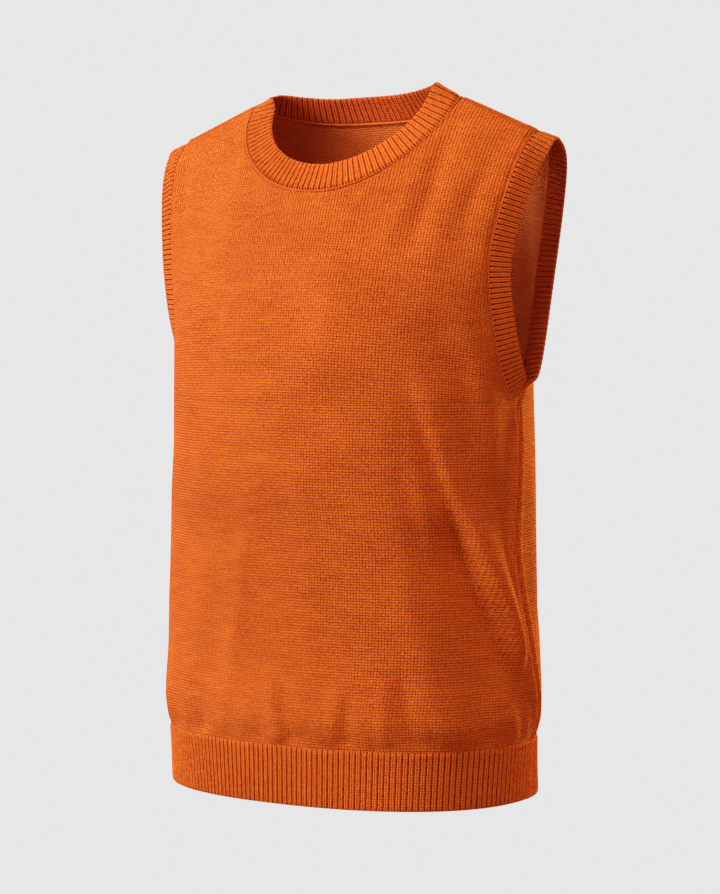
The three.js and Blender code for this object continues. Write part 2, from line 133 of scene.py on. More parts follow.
@dataclass(frozen=True)
class WornForm:
    """The shape that the cloth takes on a wearer: body rings, drape over the shoulders and cut lines."""

    hem_z: float = -609.0
    rib_top_z: float = -558.0
    underarm_z: float = -264.0
    squareness: float = 2.25
    ring_steps: int = 240
    rings: tuple[BodyRing, ...] = (
        BodyRing(-609, 174.5, 115, 116, 22),
        BodyRing(-558, 177, 115, 109, 26),
        BodyRing(-535, 182, 117, 111, 27),
        BodyRing(-491, 182.5, 107, 108, 14),
        BodyRing(-397, 176.5, 103, 118, -2),
        BodyRing(-324, 171, 108, 131, 11),
        BodyRing(-264, 171, 104, 127.5, 15),
    )
    neck_x: float = 92.5
    tip_x: float = 190.0
    shoulder_slope: float = 0.402
    shoulder_crown: float = 47.0
    neck_y: float = 5.5
    tip_y: float = 18.0
    left_rise: float = 4.9
    armhole_x: float = 188.0
    armhole_share: float = 0.63
    armhole_flare: float = 1.7
    hollow_depth: float = 6.5
    hollow_share: float = 0.36
    hollow_reach: float = 0.17
    neckline_x: float = 9.0
    neckline_half: float = 110.0
    front: Drape = Drape((183, 110.5), (8, 49.5), (0.55, 0.6), 1, 0.598, 0.73)
    back: Drape = Drape((132, 130), (94, 57.5), (0.82, 0.2), -1, 0.203, 1.45)

    def drape(self, panel: Panel) -> Drape:
        """The drape of a panel."""
        return self.front if panel is Panel.FRONT else self.back

    def ring_value(self, key: str, z: float) -> float:
        """Smooth value of a column of the ring table.

        Args:
            key: Name of the column.
            z: Height.

        Returns:
            The value at that height.
        """
        zs = [ring.z for ring in self.rings]
        values = [getattr(ring, key) for ring in self.rings]
        last = len(zs) - 1
        row = int(np.clip(np.searchsorted(zs, z, side="left") - 1, 0, last - 1))

        def slope(i: int) -> float:
            """Slope of the column at one of its rows."""
            low, high = max(i - 1, 0), min(i + 1, last)
            return (values[high] - values[low]) / (zs[high] - zs[low])

        step = zs[row + 1] - zs[row]
        t = (z - zs[row]) / step
        return (
            (1 + 2 * t) * (1 - t) ** 2 * values[row]
            + t * (1 - t) ** 2 * step * slope(row)
            + t * t * (3 - 2 * t) * values[row + 1]
            + t * t * (t - 1) * step * slope(row + 1)
        )

    def half_ring(self, z: float) -> tuple[np.ndarray, np.ndarray, float]:
        """Half of a ring from the front centre round the wearer's left to the back centre.

        Args:
            z: Height.

        Returns:
            The points in plan, their lengths along the ring, and the length at the side seam.
        """
        steps = self.ring_steps
        angle = np.linspace(0, math.pi, 2 * steps + 1)
        power = 2 / self.squareness
        across = np.abs(np.sin(angle)) ** power
        along = np.abs(np.cos(angle)) ** power
        front, back = self.ring_value("front", z), self.ring_value("back", z)
        y = np.where(angle <= math.pi / 2, -front * along, back * along)
        plan = np.stack([self.ring_value("half_width", z) * across, y], axis=1)
        lengths = path_lengths(plan)
        return plan, lengths, float(lengths[steps] + self.ring_value("seam_shift", z))

    def panel_half(self, panel: Panel, z: float) -> float:
        """Half of a panel's width at a height."""
        _, lengths, seam = self.half_ring(z)
        return seam if panel is Panel.FRONT else float(lengths[-1] - seam)

    def body(self, panel: Panel, across: np.ndarray, z: float) -> np.ndarray:
        """Points on a ring.

        Args:
            panel: The panel.
            across: Distances from its centre wale.
            z: Height.

        Returns:
            The points.
        """
        plan, lengths, _ = self.half_ring(z)
        length = np.abs(across) if panel is Panel.FRONT else lengths[-1] - np.abs(across)
        x = np.interp(length, lengths, plan[:, 0]) * np.where(across < 0, -1.0, 1.0)
        y = np.interp(length, lengths, plan[:, 1])
        return np.stack([x, y, np.full_like(x, z)], axis=-1)

    def shoulder(self, x: np.ndarray) -> np.ndarray:
        """Points on the shoulder line.

        Args:
            x: Distances to the wearer's left.

        Returns:
            The points.
        """
        fall = self.shoulder_slope * (
            np.hypot(x, self.shoulder_crown) - math.hypot(self.neck_x, self.shoulder_crown)
        )
        side = x / self.neck_x
        rise = self.left_rise * side * np.exp(0.5 * (1 - side * side))
        out = np.clip((np.abs(x) - self.neck_x) / (self.tip_x - self.neck_x), -0.5, 1)
        return np.stack([x, self.neck_y + (self.tip_y - self.neck_y) * out, rise - fall], axis=-1)

    def yoke(self, panel: Panel, across: np.ndarray, share: np.ndarray) -> np.ndarray:
        """Points above the underarm.

        Args:
            panel: The panel.
            across: Distances from its centre wale.
            share: Shares of the wale's way to the shoulder line.

        Returns:
            The points.
        """
        half = self.panel_half(panel, self.underarm_z)
        lower_half = self.panel_half(panel, self.underarm_z - 12)
        inside = np.clip(across, -half, half)
        start = self.body(panel, inside, self.underarm_z)
        lower = self.body(panel, inside / half * lower_half, self.underarm_z - 12)
        drape = self.drape(panel)
        out = (np.minimum(np.abs(across) / self.tip_x, 1.1) ** 2)[..., None]

        def mix(pair: tuple[float, float]) -> np.ndarray:
            """Value between the one at the centre and the one at the tips."""
            return pair[0] * (1 - out) + pair[1] * out

        end = self.shoulder(across)
        tilt = mix(drape.tilt)
        over = np.concatenate([np.zeros_like(tilt), np.full_like(tilt, drape.towards), tilt], axis=-1)
        first = start + (start - lower) / 12 * mix(drape.rise)
        second = end - over * mix(drape.reach)
        t = share[..., None]
        return (
            (1 - t) ** 3 * start
            + 3 * (1 - t) ** 2 * t * first
            + 3 * (1 - t) * t * t * second
            + t**3 * end
        )

    def armhole_across(self, share: np.ndarray, half: float) -> np.ndarray:
        """Distance across of the armhole's cut.

        Args:
            share: Shares of the way up the yoke.
            half: Half of the panel's width at the underarm.

        Returns:
            The distances.
        """
        low = np.arccos(np.clip(1 - share / self.armhole_share, -1, 1))
        curve = half - (half - self.armhole_x) * np.sin(np.minimum(low, math.pi / 2))
        part = np.maximum(share - self.armhole_share, 0) / (1 - self.armhole_share)
        flare = self.armhole_x + (self.tip_x - self.armhole_x) * part**self.armhole_flare
        return np.where(share <= self.armhole_share, curve, flare)

    def left_hollow(self, share: np.ndarray) -> np.ndarray:
        """Extra hollow of the front panel's cut at the wearer's left."""
        return self.hollow_depth * bell(share - self.hollow_share, self.hollow_reach)


@dataclass(frozen=True)
class Fold:
    """A soft ridge, or a trough if its height is negative, along a path that runs down a panel."""

    height: float
    left: float
    right: float
    path: tuple[tuple[float, float], ...]
    ends: float = 0.3

    def lift(self, x: np.ndarray, z: np.ndarray) -> np.ndarray:
        """Height of the fold.

        Args:
            x: Distances across the panel.
            z: Heights.

        Returns:
            How far the cloth is lifted at each place.
        """
        points = np.array(self.path, float)
        spans = np.diff(points, axis=0)
        lengths = np.linalg.norm(spans, axis=1)
        before = np.cumsum(lengths) - lengths
        nearest = np.full(x.shape, np.inf)
        beside, along = np.zeros_like(x), np.zeros_like(x)
        for (px, pz), (dx, dz), length, start in zip(points, spans, lengths, before):
            t = np.clip(((x - px) * dx + (z - pz) * dz) / length**2, 0, 1)
            away = np.hypot(x - px - t * dx, z - pz - t * dz)
            side = np.sign((z - pz) * dx - (x - px) * dz)
            closer = away < nearest
            nearest = np.where(closer, away, nearest)
            beside = np.where(closer, side * away, beside)
            along = np.where(closer, (start + t * length) / lengths.sum(), along)
        width = np.where(beside < 0, self.left, self.right)
        return self.height * bell(beside, width) * smooth(along / self.ends) * smooth((1 - along) / self.ends)


# Height, width of the left and of the right flank as the camera sees them, and the path down the panel
FRONT_FOLDS = (
    Fold(1.6, 9, 7, ((110, -40), (106, -72), (98, -108), (84, -150))),
    Fold(-3.2, 8, 8, ((130, -8), (124, -51), (123, -85), (116, -120), (106, -158)), 0.4),
    Fold(2.0, 16, 17, ((147, -22), (144, -75), (138, -120), (122, -180)), 0.4),
    Fold(-2.2, 10, 11, ((174, -22), (168, -66), (160, -95), (146, -150)), 0.45),
    Fold(3.0, 12, 9, ((179, -45), (178, -95), (180, -140), (183, -190))),
    Fold(0.8, 6, 5, ((72, -72), (60, -96), (48, -124))),
    Fold(5.2, 30, 40, ((54, -120), (52, -190), (46, -270))),
    Fold(1.7, 12, 12, ((-84, -30), (-78, -80), (-76, -112), (-72, -165))),
    Fold(-3.0, 8, 10, ((-176, -40), (-170, -75), (-158, -135))),
    Fold(-1.8, 18, 16, ((-80, -180), (-84, -225), (-86, -280))),
    Fold(-5.6, 20, 7, ((112, -205), (120, -240), (132, -272), (145, -312), (158, -352), (171, -388),
                         (187, -427), (205, -465), (231, -520)), 0.36),
    Fold(-6.5, 16, 9, ((156, -348), (171, -388), (187, -427), (205, -465), (228, -506), (246, -540)), 0.22),
    Fold(3.2, 7, 18, ((118, -220), (143, -273), (157, -314), (170, -354), (183, -389), (199, -427),
                        (217, -465), (242, -520)), 0.3),
    Fold(-4.2, 32, 18, ((134, -175), (152, -215), (160, -262)), 0.4),
    Fold(10.0, 10, 22, ((167, -340), (182, -383), (200, -423), (219, -463), (234, -494), (243, -514)), 0.26),
    Fold(-3.2, 13, 12, ((163, -215), (170, -245), (175, -272), (180, -300), (188, -340)), 0.35),
    Fold(4.6, 12, 16, ((180, -200), (189, -240), (194, -272), (199, -300), (206, -345)), 0.35),
    Fold(4.0, 11, 24, ((192, -404), (210, -444), (226, -478), (238, -504)), 0.4),
    Fold(-1.8, 9, 8, ((114, -295), (121, -331), (130, -370), (145, -440))),
    Fold(1.6, 8, 8, ((122, -265), (131, -300), (141, -345), (154, -405))),
    Fold(3.4, 15, 24, ((118, -370), (127, -440), (140, -483), (155, -518), (176, -575)), 0.2),
    Fold(-9.0, 34, 26, ((136, -350), (160, -420), (184, -482), (206, -555))),
    Fold(2.2, 8, 6, ((103, -490), (108, -525), (116, -575))),
    Fold(-3.0, 7, 8, ((115, -480), (126, -520), (142, -585))),
    Fold(2.0, 7, 5, ((62, -495), (65, -588))),
    Fold(-2.6, 4.5, 6, ((75, -500), (75, -592))),
    Fold(2.4, 8, 6, ((-10, -490), (6, -545), (16, -588))),
    Fold(-2.8, 5.5, 7, ((2, -498), (17, -538), (30, -590))),
    Fold(2.0, 10, 8, ((-34, -345), (-41, -418), (-49, -474), (-52, -515), (-49, -590))),
    Fold(-2.2, 12, 15, ((-80, -410), (-84, -486), (-90, -590))),
    Fold(-2.2, 12, 12, ((180, -485), (196, -530), (214, -580))),
    Fold(2.4, 10, 9, ((210, -485), (228, -530), (240, -580))),
    Fold(0.9, 12, 12, ((30, -300), (26, -380), (34, -460))),
    Fold(-1.3, 20, 18, ((52, -390), (48, -450), (56, -520))),
    Fold(2.2, 14, 14, ((-172, -300), (-186, -400), (-200, -500))),
    Fold(-2.4, 14, 14, ((-212, -290), (-218, -400), (-226, -520))),
    Fold(1.8, 12, 12, ((-140, -450), (-146, -520), (-150, -590))),
    Fold(-0.7, 7, 7, ((-90, -246), (-30, -238), (40, -244))),
    Fold(0.7, 7, 7, ((-70, -262), (0, -254), (60, -262))),
    Fold(-0.7, 7, 7, ((-80, -316), (-10, -308), (50, -318))),
    Fold(0.6, 7, 7, ((-40, -350), (20, -344), (80, -352))),
)
BACK_FOLDS = (
    Fold(-3.4, 14, 8, ((-96, -190), (-118, -270), (-146, -350), (-184, -440), (-216, -505))),
    Fold(-3.0, 8, 15, ((104, -205), (128, -290), (152, -360), (180, -440), (206, -510))),
    Fold(2.6, 12, 12, ((-140, -80), (-150, -150), (-160, -230))),
    Fold(2.4, 12, 12, ((146, -70), (152, -150), (158, -240))),
    Fold(-2.0, 22, 22, ((-31, -300), (-38, -420), (-46, -560))),
    Fold(-2.2, 22, 20, ((36, -280), (44, -420), (52, -570))),
    Fold(2.0, 16, 14, ((2, -330), (0, -450), (6, -590))),
    Fold(-2.0, 12, 12, ((-110, -60), (-98, -110), (-92, -160))),
    Fold(-1.8, 10, 12, ((104, -50), (92, -110), (88, -150))),
    Fold(2.2, 9, 8, ((-120, -480), (-126, -530), (-128, -590))),
    Fold(-1.8, 8, 8, ((-70, -470), (-74, -530), (-70, -590))),
    Fold(2.0, 8, 9, ((92, -470), (96, -530), (98, -590))),
    Fold(-1.8, 7, 8, ((140, -490), (146, -540), (150, -590))),
    Fold(1.6, 12, 12, ((200, -300), (206, -400), (210, -480))),
    Fold(1.6, 12, 12, ((-200, -300), (-206, -400), (-212, -480))),
)


@dataclass(frozen=True)
class Gathers:
    """Small upright puckers where the cloth is drawn in by the hem rib."""

    seed: int
    count: int = 26
    tallest: float = 1.9
    longest: float = 62.0
    narrowest: float = 3.2
    spread: float = 4.2
    least: float = 0.35
    lean: float = 0.12
    fade: float = 3.2
    rise: float = 7.0

    def lift(self, x: np.ndarray, z: np.ndarray, half: float, base: float) -> np.ndarray:
        """Height of the puckers.

        Args:
            x: Distances across the panel.
            z: Heights.
            half: Half of the panel's width.
            base: Height of the rib's top.

        Returns:
            The height at each place.
        """
        chance = np.random.default_rng(self.seed)
        total = np.zeros_like(x)
        for i in range(self.count):
            centre = half * (2 * (i + 0.15 + 0.7 * chance.random()) / self.count - 1)
            width = self.narrowest + self.spread * chance.random()
            tall = self.longest * (self.least + (1 - self.least) * chance.random())
            height = self.tallest * (self.least + (1 - self.least) * chance.random()) * (1 if i % 2 else -1)
            lean = self.lean * (chance.random() - 0.5)
            up = np.clip((z - base) / tall, 0, 2)
            total += height * bell(x - centre - lean * (z - base), width) * np.exp(-self.fade * up * up)
        return total * smooth((z - base) / self.rise)


def signed_volume(mesh: bpy.types.Mesh) -> float:
    """Volume inside a closed mesh, positive if its faces point outwards.

    Args:
        mesh: The mesh.

    Returns:
        The volume with its sign.
    """
    mesh.calc_loop_triangles()
    points = np.zeros(len(mesh.vertices) * 3)
    mesh.vertices.foreach_get("co", points)
    triangles = np.zeros(len(mesh.loop_triangles) * 3, np.int64)
    mesh.loop_triangles.foreach_get("vertices", triangles)
    a, b, c = (points.reshape(-1, 3)[triangles.reshape(-1, 3)[:, i]] for i in range(3))
    return float((a * np.cross(b, c)).sum() / 6)


def make_piece(
    name: str,
    points: np.ndarray,
    faces: list[tuple[int, ...]],
    stitches: list[tuple[float, float]],
    marks: dict[str, np.ndarray],
) -> bpy.types.Object:
    """Makes a mesh object with its faces pointing outwards.

    Args:
        name: Name of the piece.
        points: Its points in millimetres.
        faces: Its faces.
        stitches: Place in the knit of each corner of each face.
        marks: Values at the points, by name.

    Returns:
        The object.
    """
    mesh = bpy.data.meshes.new(name)
    mesh.from_pydata((points.reshape(-1, 3) * METRES).tolist(), [], faces)
    layer = mesh.uv_layers.new(name="stitches")
    layer.data.foreach_set("uv", np.array(stitches, np.float32).ravel())
    for key, values in marks.items():
        mark = mesh.attributes.new(key, "FLOAT", "POINT")
        mark.data.foreach_set("value", values.reshape(-1).astype(np.float32))
    if signed_volume(mesh) < 0:
        mesh.flip_normals()
    piece = bpy.data.objects.new(name, mesh)
    bpy.context.scene.collection.objects.link(piece)
    return piece


@dataclass
class Shell:
    """A thin closed shell: rows run round its profile and columns run along it."""

    name: str
    rows: np.ndarray
    stitches: np.ndarray
    reverse: np.ndarray
    wall_rows: int
    closed: bool
    sharp_angle: float = 52.0
    holes: np.ndarray | None = None

    def build(self) -> bpy.types.Object:
        """The mesh object, with its stitch map and its reverse side marked."""
        count, columns = self.rows.shape[:2]
        index = np.arange(count * columns).reshape(count, columns)
        spans = columns if self.closed else columns - 1
        faces: list[tuple[int, ...]] = []
        maps: list[tuple[float, float]] = []
        for i in range(count):
            j = (i + 1) % count
            here, there = index[i].tolist(), index[j].tolist()
            low = self.stitches[i].tolist()
            high = self.stitches[j].tolist()
            for k in range(spans):
                n = (k + 1) % columns
                faces.append((here[k], here[n], there[n], there[k]))
                maps += [low[k], low[k + 1], high[k + 1], high[k]]
        if not self.closed:
            for k, forward in ((0, True), (columns - 1, False)):
                for face in self._end_faces(count):
                    order = face if forward else face[::-1]
                    faces.append(tuple(int(index[i, k]) for i in order))
                    maps += [tuple(self.stitches[i, k]) for i in order]
        marks = {"reverse_side": self.reverse}
        # The pinholes' depths go to the material, which darkens them as painted shadow.
        if self.holes is not None:
            marks["holes"] = self.holes
        piece = make_piece(self.name, self.rows, faces, maps, marks)
        bpy.ops.object.select_all(action="DESELECT")
        piece.select_set(True)
        bpy.context.view_layer.objects.active = piece
        bpy.ops.object.shade_smooth_by_angle(angle=math.radians(self.sharp_angle))
        piece.select_set(False)
        return piece

    def _end_faces(self, count: int) -> list[tuple[int, ...]]:
        """Faces that close one end, as rows round the profile, which has that count of them."""
        quads = [(i, i + 1, count - 2 - i, count - 1 - i) for i in range(self.wall_rows - 1)]
        rim = tuple(range(self.wall_rows - 1, count - self.wall_rows + 1))
        return quads + ([rim] if len(rim) > 2 else [])


@dataclass(frozen=True)
class EdgeRoll:
    """How a sewn edge rolls: it dips at the seam and swells a little beside it."""

    swell: float = 0.45
    swell_at: float = 6.5
    swell_width: float = 3.0
    dip: float = 1.1
    dip_at: float = 1.2
    dip_width: float = 1.8

    def lift(self, distance: np.ndarray) -> np.ndarray:
        """Height at distances from the edge."""
        raised = self.swell * bell(distance - self.swell_at, self.swell_width)
        return raised - self.dip * bell(distance - self.dip_at, self.dip_width)


@dataclass
class PanelCloth:
    """The laid out cloth of one panel: its two faces, and its places across and up the flat cut."""

    outer: np.ndarray
    inner: np.ndarray
    across: np.ndarray
    height: np.ndarray


@dataclass
class KnitPanel:
    """A stocking stitch panel from the hem rib to the shoulder seam."""

    panel: Panel
    form: WornForm
    folds: tuple[Fold, ...]
    gathers: Gathers
    wall: float = 1.8
    gap: float = 0.1
    body_rows: int = 104
    yoke_rows: int = 96
    shoulder_columns: int = 30
    neck_columns: int = 116
    neck_crowding: float = 1.4
    corner_spread: float = 26.0
    corner_ease: float = 0.6
    fold_starts: tuple[float, float, float] = (9.0, 26.0, 16.0)
    side_ridge: float = 3.0
    side_ridge_at: float = 4.5
    side_reach: tuple[float, float] = (50.0, 40.0)
    gather_start: float = 12.0
    seam_blend: float = 6.0
    roll: EdgeRoll = EdgeRoll()
    wale: float = 2.9
    course: float = 2.35

    def _columns(self) -> tuple[np.ndarray, np.ndarray, np.ndarray]:
        """Shares of the width, turns round the neckline and places across at the top.

        Returns:
            The shares, the turns with NaN outside the neckline, and the top places.
        """
        form = self.form
        spread = form.neckline_half + self.corner_spread
        right = (form.neckline_x - spread) / form.tip_x
        left = (form.neckline_x + spread) / form.tip_x
        ends = eased_steps(self.shoulder_columns, 0.15, 1.0)
        way = np.linspace(-1, 1, self.neck_columns + 1)
        shares = np.concatenate(
            [
                -1 + (right + 1) * ends[:-1],
                right + (left - right) * (way + 1) / 2,
                (1 - (1 - left) * ends[:-1])[::-1],
            ]
        )
        blank = np.full(self.shoulder_columns, np.nan)
        eased = np.sign(way) * math.pi / 2 * (1 - (1 - np.abs(way)) ** self.neck_crowding)
        turns = np.concatenate([blank, eased, blank])
        low, high = form.neckline_x - form.neckline_half, form.neckline_x + form.neckline_half
        tops = np.concatenate(
            [
                -form.tip_x + (low + form.tip_x) * ends[:-1],
                form.neckline_x + form.neckline_half * np.sin(eased),
                (form.tip_x - (form.tip_x - high) * ends[:-1])[::-1],
            ]
        )
        return shares, turns, tops

    def lay_out(self) -> tuple[np.ndarray, np.ndarray, np.ndarray]:
        """Bare points of the panel, before its folds.

        Returns:
            The points, their distances across and their shares up the yoke, row by row.
        """
        form, panel = self.form, self.panel
        shares, turns, tops = self._columns()
        bottom = form.rib_top_z + 0.01
        points, across, climb = [], [], []
        for t in eased_steps(self.body_rows, 0.3, 1.0)[:-1]:
            z = bottom + (form.underarm_z - bottom) * t
            x = shares * (form.panel_half(panel, z) - self.gap / 2)
            points.append(form.body(panel, x, z))
            across.append(x)
            climb.append(np.zeros_like(x))
        drape = form.drape(panel)
        half = form.panel_half(panel, form.underarm_z) - self.gap / 2
        fall = np.where(np.isnan(turns), 0, np.maximum(np.cos(np.nan_to_num(turns)), 0))
        inset = self.gap / 2 / (3 * drape.reach[0])
        top = np.minimum(1 - inset, 1 - drape.neck_share * fall**drape.neck_round)
        for climbed in eased_steps(self.yoke_rows, 0.12, 0.3, 10):
            place = form.armhole_across(climbed * top, half) * shares
            if panel is Panel.FRONT:
                place -= form.left_hollow(climbed * top) * np.maximum(shares, 0) ** 2
            slide = tops - form.armhole_across(top, half) * shares
            x = place + slide * climbed**3
            points.append(form.yoke(panel, x, climbed * top))
            across.append(x)
            climb.append(climbed * top)
        return np.array(points), np.array(across), np.array(climb)

    def normals(self, points: np.ndarray) -> np.ndarray:
        """Outward directions of a laid out grid of points."""
        along, up = np.gradient(points, axis=1), np.gradient(points, axis=0)
        outward = unit(np.cross(along, up))
        return outward if self.panel is Panel.FRONT else -outward

    def drape_cloth(self, bare: np.ndarray, across: np.ndarray, seam: np.ndarray) -> PanelCloth:
        """Adds folds, puckers and rolled edges, and gives the cloth its thickness.

        Args:
            bare: The laid out points.
            across: Distances across.
            seam: Directions along the top edge that both panels share.

        Returns:
            The cloth of the panel.
        """
        form = self.form
        own = self.normals(bare)
        step = np.linalg.norm(np.diff(bare, axis=0), axis=2)
        up = np.concatenate([np.zeros((1, step.shape[1])), np.cumsum(step, axis=0)])
        from_top = up[-1] - up
        side = np.linalg.norm(np.diff(bare, axis=1), axis=2)
        right = np.concatenate([np.zeros((side.shape[0], 1)), np.cumsum(side, axis=1)], axis=1)
        from_side = np.minimum(right, right[:, -1:] - right)
        z = bare[..., 2]
        base = form.rib_top_z
        lift = sum(fold.lift(across, z) for fold in self.folds)
        for distance, start in zip((up, from_side, from_top), self.fold_starts):
            lift = lift * smooth(distance / start)
        body = smooth((z - base) / self.side_reach[0]) * smooth((form.underarm_z - z) / self.side_reach[1])
        lift += self.side_ridge * bell(from_side - self.side_ridge_at, self.side_ridge_at) * body
        gathered = self.gathers.lift(across, z, form.panel_half(self.panel, base), base)
        lift += gathered * smooth(from_side / self.gather_start)
        for distance in (from_side, from_top):
            lift += self.roll.lift(distance)
        _, turns, _ = self._columns()
        corner = (math.pi / 2 - np.abs(np.nan_to_num(turns))) / self.corner_ease
        eased = np.where(np.isnan(turns), 0, np.minimum(corner, 1))
        top = unit(seam * (1 - eased[:, None]) + own[-1] * eased[:, None])
        near = (1 - smooth(from_top / self.seam_blend))[..., None]
        normal = unit(own * (1 - near) + top[None] * near)
        outer = bare + normal * lift[..., None]
        inner = outer - normal * (self.wall / np.maximum((normal * own).sum(-1, keepdims=True), 0.5))
        return PanelCloth(outer, inner, across, up + base)

    def build(self, cloth: PanelCloth) -> bpy.types.Object:
        """The panel as a closed thin shell.

        Args:
            cloth: Its laid out cloth.

        Returns:
            The panel.
        """
        rows = np.concatenate([cloth.outer, cloth.inner[::-1]])
        stitches = np.stack([cloth.across / self.wale, cloth.height / self.course], axis=-1)
        stitches = np.concatenate([stitches, stitches[::-1]])
        count = len(cloth.outer)
        reverse = np.zeros(rows.shape[:2])
        reverse[count:] = 1
        shell = Shell(f"{self.panel.value}_panel_knit", rows, stitches, reverse, count, False)
        return shell.build()


@dataclass(frozen=True)
class RibKnit:
    """A one by one rib: raised columns with narrow grooves between them."""

    pitch: float
    relief: float
    columns: int = 10
    course: float = 2.3
    groove: tuple[float, float] = (1.25, 0.14)
    split: tuple[float, float] = (0.42, 0.1)

    def ridge(self, phase: np.ndarray) -> np.ndarray:
        """Height of the rib's face, from 0 in the groove to 1 on the column.

        Args:
            phase: Place across in ribs, whole numbers at the grooves.

        Returns:
            The height at each place.
        """
        beside = np.abs(phase - np.round(phase))
        middle = np.abs(phase - np.floor(phase) - 0.5)
        deep, wide = self.groove
        parted, narrow = self.split
        return 1 - deep * bell(beside, wide) - parted * bell(middle, narrow)

    def count(self, length: float) -> int:
        """An even number of ribs for a length."""
        return 2 * round(length / self.pitch / 2)


@dataclass
class RibProfile:
    """Rows round the thin profile of a ribbed piece: widths from its sewn edge and depths in its wall."""

    width: np.ndarray
    depth: np.ndarray
    wall_rows: int

    @staticmethod
    def of(width: float, rows: int, wall: float, bead: float = 1.0) -> "RibProfile":
        """The profile of a band.

        Args:
            width: Width of the band.
            rows: Rows up each face.
            wall: Thickness of the wall.
            bead: Fullness of the free edge beside the wall's half thickness.

        Returns:
            The profile, outer face first.
        """
        radius = wall / 2 * bead
        face = eased_steps(rows, 0.25, 0.45, 6) * (width - radius)
        turn = np.linspace(0, math.pi, 8)[1:-1]
        widths = np.concatenate([face, width - radius + radius * np.sin(turn), face[::-1]])
        depths = np.concatenate(
            [np.zeros(rows + 1), wall / 2 * (1 - np.cos(turn)), np.full(rows + 1, wall)]
        )
        return RibProfile(widths, depths, rows + 1)


@dataclass
class HemRib:
    """The ribbed welt below one panel."""

    panel: Panel
    form: WornForm
    knit: RibKnit
    wall: float = 1.8
    gap: float = 0.1
    rows: int = 22
    lean: float = 0.05
    ragged: float = 1.3
    start: float = 2.2
    taper: float = 3.0
    edge_loss: float = 0.45

    def build(self) -> bpy.types.Object:
        """The welt as a closed thin shell with its ribs raised on both faces."""
        form = self.form
        top = form.rib_top_z - 0.01
        width = top - form.hem_z
        half = form.panel_half(self.panel, top) - self.gap / 2
        ribs = self.knit.count(2 * half)
        phase = np.linspace(0, ribs, ribs * self.knit.columns + 1)
        profile = RibProfile.of(width, self.rows, self.wall)
        chance = np.random.default_rng(7 if self.panel is Panel.FRONT else 8)
        tips = np.repeat(chance.random(ribs) * self.ragged, self.knit.columns)
        tips = np.append(tips, tips[-1])
        rows, stitches = [], []
        for w, depth in zip(profile.width, profile.depth):
            z = top - w
            reach = form.panel_half(self.panel, max(z, form.hem_z)) - self.gap / 2
            share = 2 * phase / ribs - 1
            window = (1 - share * share) * smooth(-share * 2 - 0.1)
            turned = share * reach + self.lean * w * window * 2
            behind, base, ahead = (
                form.body(self.panel, turned + step, max(z, form.hem_z - 1)) for step in (-0.5, 0, 0.5)
            )
            base[:, 2] = z
            run = unit(ahead - behind)
            outward = np.stack([run[:, 1], -run[:, 0], np.zeros(len(run))], axis=1)
            if self.panel is Panel.BACK:
                outward = -outward
            started = smooth((w - tips) / self.start)
            ended = 1 - self.edge_loss * smooth((w - width + self.taper) / self.taper)
            face = self.knit.ridge(phase) * started
            hidden = self.knit.ridge(phase + 0.5)
            lifted = self.knit.relief * ended * (
                face * (1 - depth / self.wall) - hidden * started * depth / self.wall
            )
            rows.append(base + outward * (lifted - depth)[:, None])
            stitches.append(np.stack([phase, np.full_like(phase, z / self.knit.course)], axis=1))
        reverse = np.repeat((profile.depth / self.wall)[:, None], len(phase), axis=1)
        shell = Shell(
            f"{self.panel.value}_hem_rib_knit",
            np.array(rows),
            np.array(stitches),
            reverse,
            profile.wall_rows,
            False,
            80.0,
        )
        return shell.build()


@dataclass
class SewnEdge:
    """A closed line of points round the edge to which a band is linked, with the cloth's inner points."""

    outer: np.ndarray
    inner: np.ndarray

    def at(self, lengths: np.ndarray, inside: bool = False) -> np.ndarray:
        """Points at lengths round the edge, which starts again after a whole turn.

        Args:
            lengths: The lengths.
            inside: Whether the points are on the cloth's inner face.

        Returns:
            The points.
        """
        along = path_lengths(np.vstack([self.outer, self.outer[:1]]))
        pick = self.inner if inside else self.outer
        return on_path(np.mod(lengths, along[-1]), along, np.vstack([pick, pick[:1]]))

    @property
    def length(self) -> float:
        """Length of the whole turn."""
        loop = np.vstack([self.outer, self.outer[:1]])
        return float(np.linalg.norm(np.diff(loop, axis=0), axis=1).sum())


def evened(values: np.ndarray, reach: int) -> np.ndarray:
    """Values round a closed line, averaged with their neighbours.

    Args:
        values: The values.
        reach: How many neighbours count on each side.

    Returns:
        The averaged values.
    """
    weights = np.hanning(2 * reach + 3)[1:-1]
    weights /= weights.sum()
    return sum(w * np.roll(values, i - reach, axis=0) for i, w in enumerate(weights))


def shared_angle(parts: tuple[np.ndarray, ...], angles: tuple[float, ...]) -> np.ndarray:
    """Angle between those of four main directions.

    Args:
        parts: How far each direction points along each of the four.
        angles: Angle of each of the four, in degrees.

    Returns:
        The angle of each direction, in radians.
    """
    squares = np.stack([np.maximum(part, 0) ** 2 for part in parts])
    return np.radians(np.array(angles) @ squares)


def turned_up(run: np.ndarray, inwards: np.ndarray, angle: np.ndarray, towards: np.ndarray) -> np.ndarray:
    """Directions square to an edge, so that the ribs stand square to it.

    Args:
        run: Directions of the edge.
        inwards: Directions square to it that point into the opening.
        angle: How far to turn away from them.
        towards: The side to turn to.

    Returns:
        The turned directions.
    """
    square = unit(np.cross(run, inwards))
    square = square * np.sign(square @ towards)[:, None]
    return inwards * np.cos(angle)[:, None] + square * np.sin(angle)[:, None]


